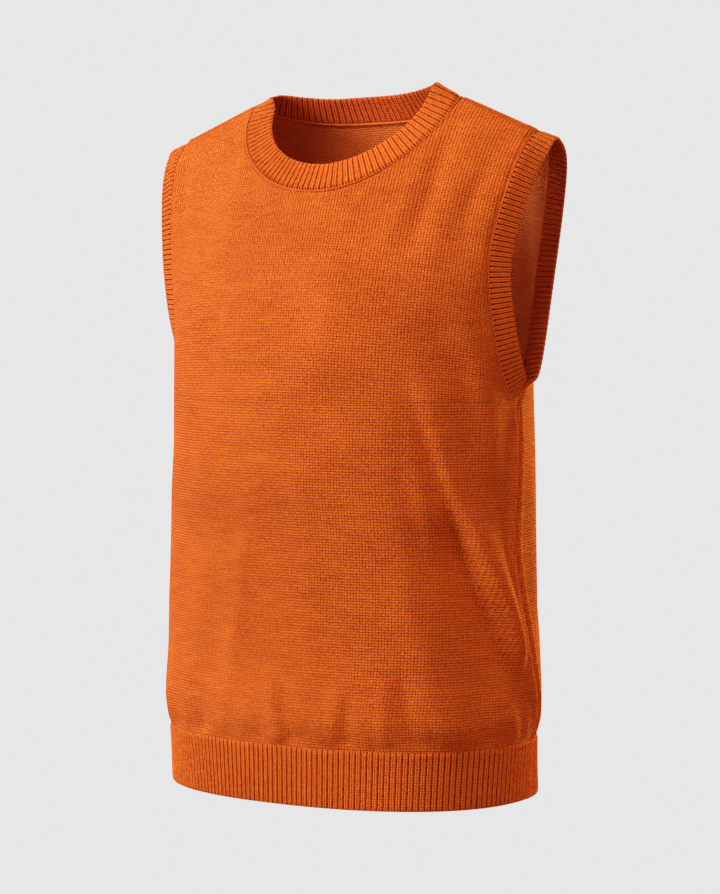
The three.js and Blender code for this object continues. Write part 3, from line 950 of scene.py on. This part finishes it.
@dataclass
class Band:
    """A ribbed band linked round an edge. It leaves the cloth in its own direction and then turns."""

    name: str
    knit: RibKnit
    width: float
    wall: float = 1.8
    gap: float = 0.1
    rows: int = 15
    bead: float = 1.12
    turn_width: float = 10.0
    aim_span: float = 14.0
    aim_reach: float = 4.0
    depth_reach: float = 3.0
    tangent_span: float = 3.0
    join: float = 3.0
    rib_start: tuple[float, float] = (0.4, 2.6)
    taper: float = 3.0
    edge_loss: float = 0.5
    inner_share: float = 0.8
    holes: int = 1
    hole_depth: float = 1.4
    hole_at: float = 1.9
    hole_height: float = 1.0
    hole_width: float = 0.15

    def aim(self, run: np.ndarray, start: np.ndarray) -> np.ndarray:
        """Direction of the free part of the band, which each kind of band settles."""
        raise NotImplementedError

    def build(self, edge: SewnEdge) -> bpy.types.Object:
        """The band as a closed thin shell with its ribs raised on both faces.

        Args:
            edge: The edge that it is linked to.

        Returns:
            The band.
        """
        ribs = self.knit.count(edge.length)
        count = ribs * self.knit.columns
        place = edge.length * np.arange(count) / count
        step = edge.length / count
        start, under = edge.at(place), edge.at(place, True)
        tangent = unit(edge.at(place + self.tangent_span) - edge.at(place - self.tangent_span))
        aimed = self.aim(edge.at(place + self.aim_span) - edge.at(place - self.aim_span), start)
        free = unit(evened(aimed, int(self.aim_reach / step)))
        depth = evened(under - start, int(self.depth_reach / step))
        leave = unit(np.cross(tangent, depth))
        leave = leave * np.sign((leave * free).sum(1, keepdims=True))
        profile = RibProfile.of(self.width - self.gap, self.rows, self.wall, self.bead)
        phase = np.arange(count) / self.knit.columns
        hole = phase * self.holes - np.round(phase * self.holes)
        rows, stitches, holes = [], [], []
        for w, inside in zip(profile.width + self.gap, profile.depth):
            turned = w * (1 - w / self.turn_width) ** 2 if w < self.turn_width else 0.0
            bend = min(w / self.turn_width, 1.0)
            heading = unit(leave * (1 - bend) + free * bend)
            outward = unit(np.cross(tangent, heading))
            outward = outward * -np.sign((outward * depth).sum(1, keepdims=True))
            point = start + free * (w - turned) + leave * turned
            joined = float(1 - smooth(w / self.join))
            point += (under - start + outward * self.wall) * joined * inside / self.wall
            started = float(smooth((w - self.rib_start[0]) / self.rib_start[1]))
            ended = 1 - self.edge_loss * float(smooth((w - self.width + self.taper) / self.taper))
            face = self.knit.ridge(phase) * started
            pinhole = self.hole_depth * bell(w - self.hole_at, self.hole_height)
            pinhole = pinhole * bell(hole, self.hole_width * self.holes)
            # The pinhole depth on the outer face, also the mask of the painted shadow in the holes.
            holes.append(pinhole * (1 - inside / self.wall))
            hidden = self.knit.ridge(phase + 0.5)
            lifted = (self.knit.relief * face * ended - pinhole) * (1 - inside / self.wall)
            lifted -= self.knit.relief * self.inner_share * hidden * started * ended * inside / self.wall
            rows.append(point + outward * (lifted - inside)[:, None])
            u = np.append(phase, ribs)
            stitches.append(np.stack([u, np.full_like(u, w / self.knit.course)], axis=1))
        reverse = np.repeat((profile.depth / self.wall)[:, None], count, axis=1)
        shell = Shell(
            self.name, np.array(rows), np.array(stitches), reverse, profile.wall_rows,
            closed=True, sharp_angle=80.0, holes=np.array(holes),
        )
        return shell.build()


@dataclass
class NeckBand(Band):
    """The neckband, which stands up from the neckline more at the front than at the wearer's right."""

    front: float = 62.0
    back: float = 57.0
    left: float = 26.0
    right: float = 12.0

    def aim(self, run: np.ndarray, start: np.ndarray) -> np.ndarray:
        """Direction of the free part: inwards over the neck and up.

        Args:
            run: Directions of the edge.
            start: Points of the edge; not used.

        Returns:
            The directions.
        """
        inwards = unit(np.stack([-run[:, 1], run[:, 0], np.zeros(len(run))], axis=1))
        x, y = inwards[:, 0], inwards[:, 1]
        angle = shared_angle((y, -y, -x, x), (self.front, self.back, self.left, self.right))
        return turned_up(run, inwards, angle, np.array([0.0, 0.0, 1.0]))


@dataclass
class ArmholeBand(Band):
    """An armhole band, which points out over the arm."""

    side: float = 1.0
    top: float = 72.0
    front: float = 60.0
    back: float = 78.0
    under: float = 27.0

    def aim(self, run: np.ndarray, start: np.ndarray) -> np.ndarray:
        """Direction of the free part: out along the arm and a little towards the middle of the hole.

        Args:
            run: Directions of the edge.
            start: Points of the edge.

        Returns:
            The directions.
        """
        inwards = unit(np.stack([np.zeros(len(run)), -run[:, 2], run[:, 1]], axis=1))
        centre = start.mean(axis=0)
        inwards = inwards * np.sign((inwards * (centre - start)).sum(1, keepdims=True))
        y, z = inwards[:, 1], inwards[:, 2]
        angle = shared_angle((-z, z, y, -y), (self.top, self.under, self.front, self.back))
        return turned_up(run, inwards, angle, np.array([self.side, 0.0, 0.0]))


@dataclass
class Linking:
    """A chain of linking stitches: a fine beaded cord that lies along a seam."""

    name: str
    radius: float
    stitch: float = 2.4
    bead: float = 0.2
    sides: int = 8
    fineness: float = 0.6
    aside: tuple[float, float, float] = (0.37, 0.21, 0.9)
    end_size: float = 0.15

    def build(self, line: np.ndarray, closed: bool) -> bpy.types.Object:
        """The chain along a line of points.

        Args:
            line: Points of the seam.
            closed: Whether the seam runs all the way round.

        Returns:
            The chain.
        """
        loop = np.vstack([line, line[:1]]) if closed else line
        along = path_lengths(loop)
        count = int(along[-1] / self.fineness)
        place = np.linspace(0, along[-1], count, endpoint=not closed)
        points = on_path(place, along, loop)
        if closed:
            tangent = unit(np.roll(points, -3, axis=0) - np.roll(points, 3, axis=0))
        else:
            tangent = unit(np.gradient(points, axis=0))
        across = unit(np.cross(tangent, np.array(self.aside)))
        other = np.cross(tangent, across)
        swell = self.radius * (1 - self.bead + self.bead * np.abs(np.sin(math.pi * place / self.stitch)))
        if not closed:
            from_end = np.minimum(place, along[-1] - place)
            swell *= np.sqrt(np.clip(from_end / self.radius, self.end_size, 1))
        turns = 2 * math.pi * np.arange(self.sides) / self.sides
        rows = [points + (across * math.cos(t) + other * math.sin(t)) * swell[:, None] for t in turns]
        faces, maps = [], []
        spans = count if closed else count - 1
        for i in range(self.sides):
            j = (i + 1) % self.sides
            for k in range(spans):
                n = (k + 1) % count
                faces.append((i * count + k, i * count + n, j * count + n, j * count + k))
                u0, u1 = i / self.sides, (i + 1) / self.sides
                v0, v1 = k * self.fineness / self.stitch, (k + 1) * self.fineness / self.stitch
                maps += [(u0, v0), (u0, v1), (u1, v1), (u1, v0)]
        if not closed:
            first = tuple(i * count for i in range(self.sides))
            last = tuple(i * count + count - 1 for i in range(self.sides))[::-1]
            faces += [first, last]
            maps += [(0.5, 0.0)] * (2 * self.sides)
        marks = {"reverse_side": np.zeros(self.sides * count)}
        piece = make_piece(self.name, np.array(rows), faces, maps, marks)
        piece.data.polygons.foreach_set("use_smooth", np.ones(len(faces), bool))
        return piece


@dataclass
class NodeTable:
    """The nodes of one material, with short ways to add and join them."""

    material: bpy.types.Material

    def node(self, kind: str, **settings: str) -> bpy.types.Node:
        """A new node.

        Args:
            kind: Its type.
            settings: Its properties and their values.

        Returns:
            The node.
        """
        made = self.material.node_tree.nodes.new(kind)
        for key, value in settings.items():
            setattr(made, key, value)
        return made

    def feed(self, socket: Socket, value: SocketValue) -> None:
        """Joins a socket to another one, or sets it to a constant.

        Args:
            socket: The socket that takes the value.
            value: The other socket or the constant.
        """
        if isinstance(value, bpy.types.NodeSocket):
            self.material.node_tree.links.new(value, socket)
        else:
            socket.default_value = value

    def math(self, operation: str, *values: SocketValue) -> Socket:
        """The result of a sum.

        Args:
            operation: Kind of sum.
            values: The sockets and numbers that it works on.

        Returns:
            The socket with the result.
        """
        made = self.node("ShaderNodeMath", operation=operation)
        for socket, value in zip(made.inputs, values):
            self.feed(socket, value)
        return made.outputs[0]

    def clamped(self, value: SocketValue) -> Socket:
        """The value held between 0 and 1."""
        return self.math("MAXIMUM", self.math("MINIMUM", value, 1.0), 0.0)

    def between(self, factor: SocketValue, low: SocketValue, high: SocketValue, colour: bool) -> Socket:
        """A colour or value between two others.

        Args:
            factor: 0 at the first and 1 at the second.
            low: The first.
            high: The second.
            colour: Whether they are colours.

        Returns:
            The socket with the result.
        """
        made = self.node("ShaderNodeMix", data_type="RGBA" if colour else "FLOAT")
        first = 6 if colour else 2
        for place, value in ((0, factor), (first, low), (first + 1, high)):
            self.feed(made.inputs[place], value)
        return made.outputs[2 if colour else 0]

    def noise(self, vector: Socket, x: float, y: float, detail: float) -> Socket:
        """Soft cloudy variation from 0 to 1.

        Args:
            vector: Place in the knit.
            x: How quickly it varies across.
            y: How quickly it varies up.
            detail: How much fine detail it has.

        Returns:
            The socket with the variation.
        """
        stretch = self.node("ShaderNodeMapping")
        stretch.inputs["Scale"].default_value = (x, y, 1)
        self.feed(stretch.inputs["Vector"], vector)
        made = self.node("ShaderNodeTexNoise")
        made.inputs["Scale"].default_value = 1.0
        made.inputs["Detail"].default_value = detail
        self.feed(made.inputs["Vector"], stretch.outputs["Vector"])
        return made.outputs["Fac"]


@dataclass(frozen=True)
class YarnFinish:
    """The orange cotton yarn as it looks in one kind of knit, with painted shade in the hollows and grooves
    of its stitches and a partly painted colour on its inner face.
    """

    name: str
    light: Colour = (0.90, 0.148, 0.012, 1)
    # Colour of the inner face. On the panels it is partly the purl side's own look and partly painted light
    # inside the vest; on the ribs it is darker, painted shade on the bands' inner face.
    inside: Colour = (0.86, 0.16, 0.028, 1)
    # Colour of the lowest parts of the stitches: painted shade in the knit's hollows and grooves.
    deep: Colour = (0.38, 0.030, 0.004, 1)
    roughness: float = 0.85
    relief: float = 0.0011
    ribbed: bool = False
    # How far the colour darkens with the stitch height: painted shade in the hollows and grooves.
    painted_hollow_shade: float = 0.65
    groove: float = 0.5
    groove_power: float = 3.0
    middle: float = 0.25
    dip: float = 0.85
    mottle: float = 1.0
    middle_tone: float = 0.62
    # Lift of the tone on the inner face: painted light, on the panels partly also the purl side's own look.
    reverse_lift: float = 0.35
    # How much the colour darkens in the pinholes: painted shadow in the holes.
    hole_painted_shade: float = 0.55
    wobble: float = 0.3
    fuzz_relief: float = 0.4
    gloss: float = 0.1
    yoke_from: float = -110.0
    yoke_rise: float = 60.0
    yoke_dip: float = 0.45
    yoke_groove: float = 0.8

    def material(self) -> bpy.types.Material:
        """The finish as a material that reads the stitch map.

        Returns:
            The material.
        """
        made = bpy.data.materials.new(self.name)
        made.use_nodes = True
        table = NodeTable(made)
        shader = made.node_tree.nodes["Principled BSDF"]
        coordinates = table.node("ShaderNodeUVMap", uv_map="stitches").outputs[0]
        split = table.node("ShaderNodeSeparateXYZ")
        table.feed(split.inputs[0], coordinates)
        wales, courses = split.outputs[0], split.outputs[1]
        reverse = table.node("ShaderNodeAttribute", attribute_name="reverse_side").outputs["Fac"]
        if self.ribbed:
            wales = table.math("MULTIPLY_ADD", reverse, 0.5, wales)
        wander = table.noise(coordinates, 0.9, 0.5, 2.0)
        wales = table.math("ADD", wales, table.math("MULTIPLY_ADD", wander, self.wobble, -self.wobble / 2))
        across = table.math("ABSOLUTE", table.math("SUBTRACT", table.math("FRACT", wales), 0.5))
        height = self._face_stitch(table, across, courses)
        if not self.ribbed:
            height = table.between(reverse, height, self._back_stitch(table, wales, courses), False)
        fuzz = table.noise(coordinates, 1.1, 1.0, 3.0)
        clouds = table.noise(coordinates, 0.035, 0.05, 3.0)
        patches = table.noise(coordinates, 0.12, 0.3, 2.0)
        streaks = table.noise(coordinates, 0.08, 0.8, 2.0)
        # The tone follows the stitch height, so the hollows and grooves get painted shade; the clouds,
        # patches, streaks and fuzz below are the yarn's own random tone.
        base = self.middle_tone * (1 - self.painted_hollow_shade)
        tone = table.math("MULTIPLY_ADD", height, self.painted_hollow_shade, base)
        # The inner face is lightened: painted light.
        tone = table.math("MULTIPLY_ADD", reverse, self.reverse_lift, tone)
        for cloud, weight in ((clouds, 0.6), (patches, 0.5), (streaks, 0.3), (fuzz, 1.5)):
            part = table.math("MULTIPLY_ADD", cloud, self.mottle * weight, -0.5 * self.mottle * weight)
            tone = table.math("ADD", tone, part)
        # Painted shadow in the pinholes of the bands.
        holes = table.node("ShaderNodeAttribute", attribute_name="holes").outputs["Fac"]
        tone = table.clamped(table.math("MULTIPLY_ADD", holes, -self.hole_painted_shade, tone))
        # The inner face takes the inside colour: a painted copy of the yarn, lighter on the panels and darker
        # on the ribs.
        bright = table.between(reverse, self.light, self.inside, True)
        table.feed(shader.inputs["Base Color"], table.between(tone, self.deep, bright, True))
        bump = table.node("ShaderNodeBump")
        bump.inputs["Strength"].default_value = 1.0
        bump.inputs["Distance"].default_value = self.relief
        table.feed(bump.inputs["Height"], table.math("MULTIPLY_ADD", fuzz, self.fuzz_relief, height))
        table.feed(shader.inputs["Normal"], bump.outputs[0])
        shader.inputs["Roughness"].default_value = self.roughness
        shader.inputs["Specular IOR Level"].default_value = self.gloss
        return made

    def _face_stitch(self, table: NodeTable, across: Socket, courses: Socket) -> Socket:
        """Height of the knit side: two slanting legs to a stitch, with grooves between the wales.

        Args:
            table: The material's nodes.
            across: Distance from the middle of the wale.
            courses: Place up the knit.

        Returns:
            The socket with the height.
        """
        groove = table.math("POWER", table.math("MULTIPLY", across, 2.0), self.groove_power)
        middle = table.math("POWER", table.math("MULTIPLY_ADD", across, -2.0, 1.0), 8.0)
        slant = table.math("FRACT", table.math("MULTIPLY_ADD", across, 0.6, courses))
        part = table.math("ABSOLUTE", table.math("MULTIPLY_ADD", slant, 2.0, -1.0))
        high: SocketValue = 0.0
        if not self.ribbed:
            rise = -self.yoke_from / self.yoke_rise
            high = table.clamped(table.math("MULTIPLY_ADD", courses, 1 / self.yoke_rise, rise))
        dip = table.math("MULTIPLY_ADD", high, self.yoke_dip * self.dip, -self.dip)
        wale = table.math("MULTIPLY_ADD", high, -self.yoke_groove * self.groove, -self.groove)
        height = table.math("MULTIPLY_ADD", table.math("POWER", part, 2.5), dip, 1.0)
        height = table.math("MULTIPLY_ADD", groove, wale, height)
        return table.math("MULTIPLY_ADD", middle, -self.middle, height)

    def _back_stitch(self, table: NodeTable, wales: Socket, courses: Socket) -> Socket:
        """Height of the purl side: low arcs that swing from one wale to the next.

        Args:
            table: The material's nodes.
            wales: Place across the knit.
            courses: Place up the knit.

        Returns:
            The socket with the height.
        """
        swing = table.math("SINE", table.math("MULTIPLY", wales, 2 * math.pi))
        level = table.math("MULTIPLY_ADD", swing, 0.22, courses)
        part = table.math("MULTIPLY_ADD", table.math("FRACT", level), 2.0, -1.0)
        return table.math("SUBTRACT", 1.0, table.math("MULTIPLY", part, part))


@dataclass(frozen=True)
class SoftLight:
    """A soft studio light, placed by its direction from the vest as the camera sees it."""

    name: str
    right: float
    up: float
    towards: float
    distance: float
    size: float
    power: float
    colour: tuple[float, float, float]


@dataclass(frozen=True)
class NarrowLight:
    """A narrow soft light that reaches through the neck to the inside of the back."""

    right: float
    up: float
    towards: float
    distance: float
    cone: float
    power: float
    aim: tuple[float, float, float]
    colour: tuple[float, float, float] = (1.0, 0.72, 0.65)
    size: float = 0.04


@dataclass(frozen=True)
class Studio:
    """Camera, lights, floor and backdrop."""

    azimuth: float = 36.196
    elevation: float = 4.347
    distance: float = 3049.7
    lens: float = 173.35
    aim_right: float = 10.528
    aim_z: float = -309.831
    roll: float = 0.754
    floor_z: float = -1100.0
    sweep_radius: float = 14.0
    sweep_rise: float = 3.0
    ambient: tuple[float, float, float] = (0.30, 0.15, 0.13)
    film_white: float = 0.8
    film: tuple[tuple[float, float], ...] = (
        (0.1, 0.118), (0.2, 0.225), (0.35, 0.366), (0.5, 0.488), (0.7, 0.628), (0.85, 0.719)
    )
    lights: tuple[SoftLight, ...] = (
        SoftLight("key", -0.955, 0.30, 0.20, 2.6, 1.4, 83, (1.0, 0.98, 0.93)),
        SoftLight("high", -0.22, 0.90, 0.46, 2.5, 1.0, 34, (1.0, 0.94, 0.90)),
        SoftLight("fill", 0.60, 0.05, 0.80, 3.0, 1.6, 20, (1.0, 0.66, 0.62)),
        SoftLight("edge", 0.68, 0.15, -0.72, 2.4, 0.9, 90, (1.0, 0.55, 0.08)),
        SoftLight("rim", -0.85, 0.12, -0.50, 2.4, 0.9, 24, (1.0, 0.84, 0.72)),
    )
    neck_light: NarrowLight = NarrowLight(-0.38, 0.42, 0.83, 1.5, 5.4, 122, (0.010, 0.043, -0.055))

    def axes(self) -> tuple[Vector, Vector, Vector]:
        """The view's directions to the right, up, and towards the camera."""
        a, e = math.radians(self.azimuth), math.radians(self.elevation)
        back = Vector((math.sin(a) * math.cos(e), -math.cos(a) * math.cos(e), math.sin(e)))
        right = Vector((math.cos(a), math.sin(a), 0))
        return right, back.cross(right), back

    def place_camera(self) -> None:
        """The camera at the photograph's angle."""
        right, up, back = self.axes()
        r = math.radians(self.roll)
        rolled_right = right * math.cos(r) - up * math.sin(r)
        rolled_up = right * math.sin(r) + up * math.cos(r)
        data = bpy.data.cameras.new("view")
        data.sensor_fit = "HORIZONTAL"
        data.sensor_width = 36
        data.lens = self.lens
        data.clip_end = 100
        camera = bpy.data.objects.new("view", data)
        bpy.context.scene.collection.objects.link(camera)
        place = (right * self.aim_right + Vector((0, 0, self.aim_z)) + back * self.distance) * METRES
        basis = Matrix((rolled_right, rolled_up, back)).transposed().to_4x4()
        camera.matrix_world = Matrix.Translation(place) @ basis
        bpy.context.scene.camera = camera

    def _hang(self, data: bpy.types.Light, light: SoftLight | NarrowLight, target: Vector) -> None:
        """Hangs one light so that it points at its target.

        Args:
            data: The light.
            light: Its direction, distance, power and colour.
            target: Where it points.
        """
        right, up, back = self.axes()
        data.energy = light.power
        data.color = light.colour
        lamp = bpy.data.objects.new(data.name, data)
        bpy.context.scene.collection.objects.link(lamp)
        way = (right * light.right + up * light.up + back * light.towards).normalized()
        place = target + way * light.distance
        lamp.matrix_world = Matrix.Translation(place) @ way.to_track_quat("Z", "Y").to_matrix().to_4x4()

    def hang_lights(self) -> None:
        """The soft lights, aimed at the middle of the vest, and the narrow one, aimed through the neck."""
        for light in self.lights:
            data = bpy.data.lights.new(light.name, "AREA")
            data.shape = "DISK"
            data.size = light.size
            self._hang(data, light, Vector((0, 0, self.aim_z * METRES)))
        data = bpy.data.lights.new("neck", "SPOT")
        data.spot_size = math.radians(self.neck_light.cone)
        data.spot_blend = 1.0
        data.shadow_soft_size = self.neck_light.size
        self._hang(data, self.neck_light, Vector(self.neck_light.aim))

    def lay_sweep(self) -> None:
        """A pale floor that runs on as the backdrop all round."""
        level = self.floor_z * METRES
        bpy.ops.object.select_all(action="DESELECT")
        bpy.ops.mesh.primitive_uv_sphere_add(
            segments=64, ring_count=32, radius=self.sweep_radius, location=(0, 0, self.sweep_radius + level)
        )
        sweep = bpy.context.active_object
        sweep.name = "studio_sweep"
        for vertex in sweep.data.vertices:
            world = sweep.matrix_world @ vertex.co
            if world.z < level + self.sweep_rise:
                world.z = level
                vertex.co = sweep.matrix_world.inverted() @ world
        sweep.data.flip_normals()
        paper = bpy.data.materials.new("pale_paper")
        paper.use_nodes = True
        tree = paper.node_tree
        tree.nodes.remove(tree.nodes["Principled BSDF"])
        glow = tree.nodes.new("ShaderNodeEmission")
        glow.inputs["Color"].default_value = (1.0, 1.0, 1.0, 1.0)
        tree.links.new(glow.outputs[0], tree.nodes["Material Output"].inputs["Surface"])
        sweep.data.materials.append(paper)
        sweep.visible_diffuse = sweep.visible_glossy = sweep.visible_shadow = False
        sweep.select_set(False)

    def light_room(self) -> None:
        """Dim even light from all sides."""
        world = bpy.data.worlds.new("room")
        world.use_nodes = True
        world.node_tree.nodes["Background"].inputs["Color"].default_value = (*self.ambient, 1)
        bpy.context.scene.world = world
        view = bpy.context.scene.view_settings
        view.view_transform = "Standard"
        view.look = "None"
        view.use_curve_mapping = True
        curve = view.curve_mapping.curves[3]
        curve.points[-1].location = (1.0, self.film_white)
        for x, y in self.film:
            curve.points.new(x, y)
        view.curve_mapping.update()

    def set_up(self) -> None:
        """Builds the whole studio."""
        self.place_camera()
        self.hang_lights()
        self.lay_sweep()
        self.light_room()


@dataclass
class Vest:
    """The whole vest: two panels, two hem ribs, a neckband, two armhole bands and their seams."""

    form: WornForm
    panel_finish: YarnFinish
    rib_finish: YarnFinish
    seam_finish: YarnFinish
    hem_knit: RibKnit = RibKnit(pitch=5.15, relief=1.1)
    neck_knit: RibKnit = RibKnit(pitch=6.0, relief=1.0, columns=14)
    armhole_knit: RibKnit = RibKnit(pitch=4.65, relief=0.75)
    neck_width: float = 26.5
    armhole_width: float = 20.0
    hem_level: float = -580.0
    neck_draw: float = 0.9
    link_step: float = 1.5
    seam_step: float = 6.0
    seam_lift: float = 0.5
    seam_ends: tuple[float, float] = (3.0, 2.0)
    seam_radius: float = 0.8
    seam_bead: float = 0.08

    def build(self) -> None:
        """Makes and dresses each piece."""
        panels = {
            Panel.FRONT: KnitPanel(Panel.FRONT, self.form, FRONT_FOLDS, Gathers(3)),
            Panel.BACK: KnitPanel(Panel.BACK, self.form, BACK_FOLDS, Gathers(5)),
        }
        bare = {side: panel.lay_out() for side, panel in panels.items()}
        seam = unit(sum(panels[side].normals(bare[side][0])[-1] for side in panels))
        cloths = {side: panels[side].drape_cloth(bare[side][0], bare[side][1], seam) for side in panels}
        knit = self.panel_finish.material()
        rib = self.rib_finish.material()
        chain = self.seam_finish.material()
        for side, panel in panels.items():
            piece = panel.build(cloths[side])
            self._dress(piece, knit, "knit", f"{side.value}_panel")
            self._declare(piece, cloths[side])
        self._add_hems(rib)
        count, rows = panels[Panel.FRONT].shoulder_columns, panels[Panel.FRONT].body_rows
        neck = self._edge(cloths, lambda grid: grid[-1, count:grid.shape[1] - count])
        self._add_neck(neck, rib, chain)
        for name, side, column, front in (("left", 1.0, -1, 36.0), ("right", -1.0, 0, 64.0)):
            hole = self._edge(cloths, lambda grid: grid[rows:, column])
            self._add_armhole(name, side, front, hole, rib, chain)
            self._seam(name, side, cloths[Panel.FRONT], rows, count, chain)

    def _add_hems(self, rib: bpy.types.Material) -> None:
        """The ribbed welt below each panel.

        Args:
            rib: Material of the ribs.
        """
        for side in Panel:
            piece = HemRib(side, self.form, self.hem_knit).build()
            self._dress(piece, rib, "rib", f"{side.value}_hem_rib")
            flat = (2 * self.form.panel_half(side, self.hem_level) * METRES, 0.051)

    def _add_neck(self, neck: SewnEdge, rib: bpy.types.Material, chain: bpy.types.Material) -> None:
        """The neckband and its linking on both faces.

        Args:
            neck: Edge of the neckline.
            rib: Material of the band.
            chain: Material of the linking.
        """
        piece = NeckBand("neck_band_knit", self.neck_knit, self.neck_width, holes=2).build(neck)
        self._dress(piece, rib, "rib", "neck_band")
        self._link("neck_linking", neck, chain, 0.8, 0.55)
        self._link("neck_linking_inside", neck, chain, 0.75, -0.3)

    def _add_armhole(
        self, name: str, side: float, front: float, hole: SewnEdge,
        rib: bpy.types.Material, chain: bpy.types.Material,
    ) -> None:
        """One armhole band and its linking on both faces.

        Args:
            name: Name of the side.
            side: 1 on the wearer's left and -1 on the right.
            front: How far the band turns at the front, in degrees.
            hole: Edge of the armhole.
            rib: Material of the band.
            chain: Material of the linking.
        """
        band = ArmholeBand(
            f"armhole_band_{name}_knit", self.armhole_knit, self.armhole_width,
            rows=12, side=side, front=front,
        )
        piece = band.build(hole)
        self._dress(piece, rib, "rib", f"armhole_band_{name}")
        self._link(f"armhole_linking_{name}", hole, chain, 0.5, 0.0)
        self._link(f"armhole_linking_inside_{name}", hole, chain, 1.0, -0.3)

    @staticmethod
    def _edge(cloths: dict[Panel, PanelCloth], pick: Callable[[np.ndarray], np.ndarray]) -> SewnEdge:
        """The closed edge along the front panel and back along the back panel.

        Args:
            cloths: Both panels' cloth.
            pick: Picks the edge's points out of a grid of points.

        Returns:
            The edge.
        """
        front, back = cloths[Panel.FRONT], cloths[Panel.BACK]
        outer = np.vstack([pick(front.outer), pick(back.outer)[::-1]])
        inner = np.vstack([pick(front.inner), pick(back.inner)[::-1]])
        return SewnEdge(outer, inner)

    def _link(
        self, name: str, edge: SewnEdge, finish: bpy.types.Material, radius: float, lift: float
    ) -> None:
        """A chain of linking stitches round a sewn edge.

        Args:
            name: Name of the chain.
            edge: The edge.
            finish: Material of the yarn.
            radius: Half of its thickness.
            lift: How far it stands out of the face, or if negative, out of the inner face.
        """
        count = int(edge.length / self.link_step)
        place = edge.length * np.arange(count) / count
        start, under = edge.at(place), edge.at(place, True)
        depth = unit(evened(under - start, 3))
        line = evened(start if lift >= 0 else under, 2) - depth * lift
        self._dress(Linking(name, radius).build(line, True), finish, "knit", None)

    def _seam(
        self, name: str, side: float, cloth: PanelCloth, rows: int, count: int, finish: bpy.types.Material
    ) -> None:
        """The raised side seam and the shoulder seam of one side.

        Args:
            name: Name of the side.
            side: 1 on the wearer's left and -1 on the right.
            cloth: Cloth of the front panel.
            rows: Rows of its body.
            count: Columns of its shoulder.
            finish: Material of the yarn.
        """
        form = self.form
        column = -1 if side > 0 else 0
        edge, under = cloth.outer[: rows - 1, column], cloth.inner[: rows - 1, column]
        body = edge - unit(under - edge) * self.seam_lift
        above, below = self.seam_ends
        heights = np.arange(form.hem_z + above, form.rib_top_z - below, self.seam_step)
        welt = np.vstack(
            [form.body(Panel.FRONT, np.array([side * form.panel_half(Panel.FRONT, z)]), z) for z in heights]
        )
        outward = unit(welt * np.array([1.0, 1.0, 0.0]))
        top = slice(-count, None) if side > 0 else slice(0, count)
        edge, under = cloth.outer[-1, top], cloth.inner[-1, top]
        lines = {
            "side": np.vstack([welt + outward * self.seam_lift, body]),
            "shoulder": edge - unit(under - edge) * self.seam_lift,
        }
        for seam, line in lines.items():
            chain = Linking(f"{seam}_seam_{name}", self.seam_radius, bead=self.seam_bead)
            self._dress(chain.build(line, False), finish, "knit", None)

    @staticmethod
    def _dress(piece: bpy.types.Object, finish: bpy.types.Material, slot: str, node: str | None) -> None:
        """Gives a piece its finish and its place in the part.

        Args:
            piece: The piece.
            finish: Its material.
            slot: Name of its slot; not used.
            node: The part's node that it replaces, if any.
        """
        piece.data.materials.append(finish)
        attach(piece, "root")
        if node is not None:
            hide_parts(node)
        log.info("%s: %d faces", piece.name, len(piece.data.polygons))

    @staticmethod
    def _declare(piece: bpy.types.Object, cloth: PanelCloth) -> None:
        """Does nothing: the flat cut of a panel is not stated.

        Args:
            piece: The panel; not used.
            cloth: Its cloth; not used.
        """


def main() -> None:
    """Builds the studio and the vest."""
    logging.basicConfig(level=logging.INFO, format="%(message)s")
    Studio().set_up()
    panel = YarnFinish("orange_stocking_stitch")
    # The bands' inner face is darker, painted shade, and their grooves take painted shade from the deep
    # colour.
    rib = YarnFinish(
        "orange_rib", light=(0.88, 0.148, 0.014, 1), inside=(0.66, 0.088, 0.012, 1),
        deep=(0.24, 0.018, 0.003, 1), ribbed=True, painted_hollow_shade=0.7, groove=1.1, groove_power=5.0,
        middle=0.5, dip=0.25, mottle=0.4, reverse_lift=0.1,
    )
    chain = YarnFinish("orange_linking_yarn", light=(0.95, 0.190, 0.022, 1), painted_hollow_shade=0.25, mottle=0.3)
    Vest(WornForm(), panel, rib, chain).build()


if __name__ == "__main__":
    main()
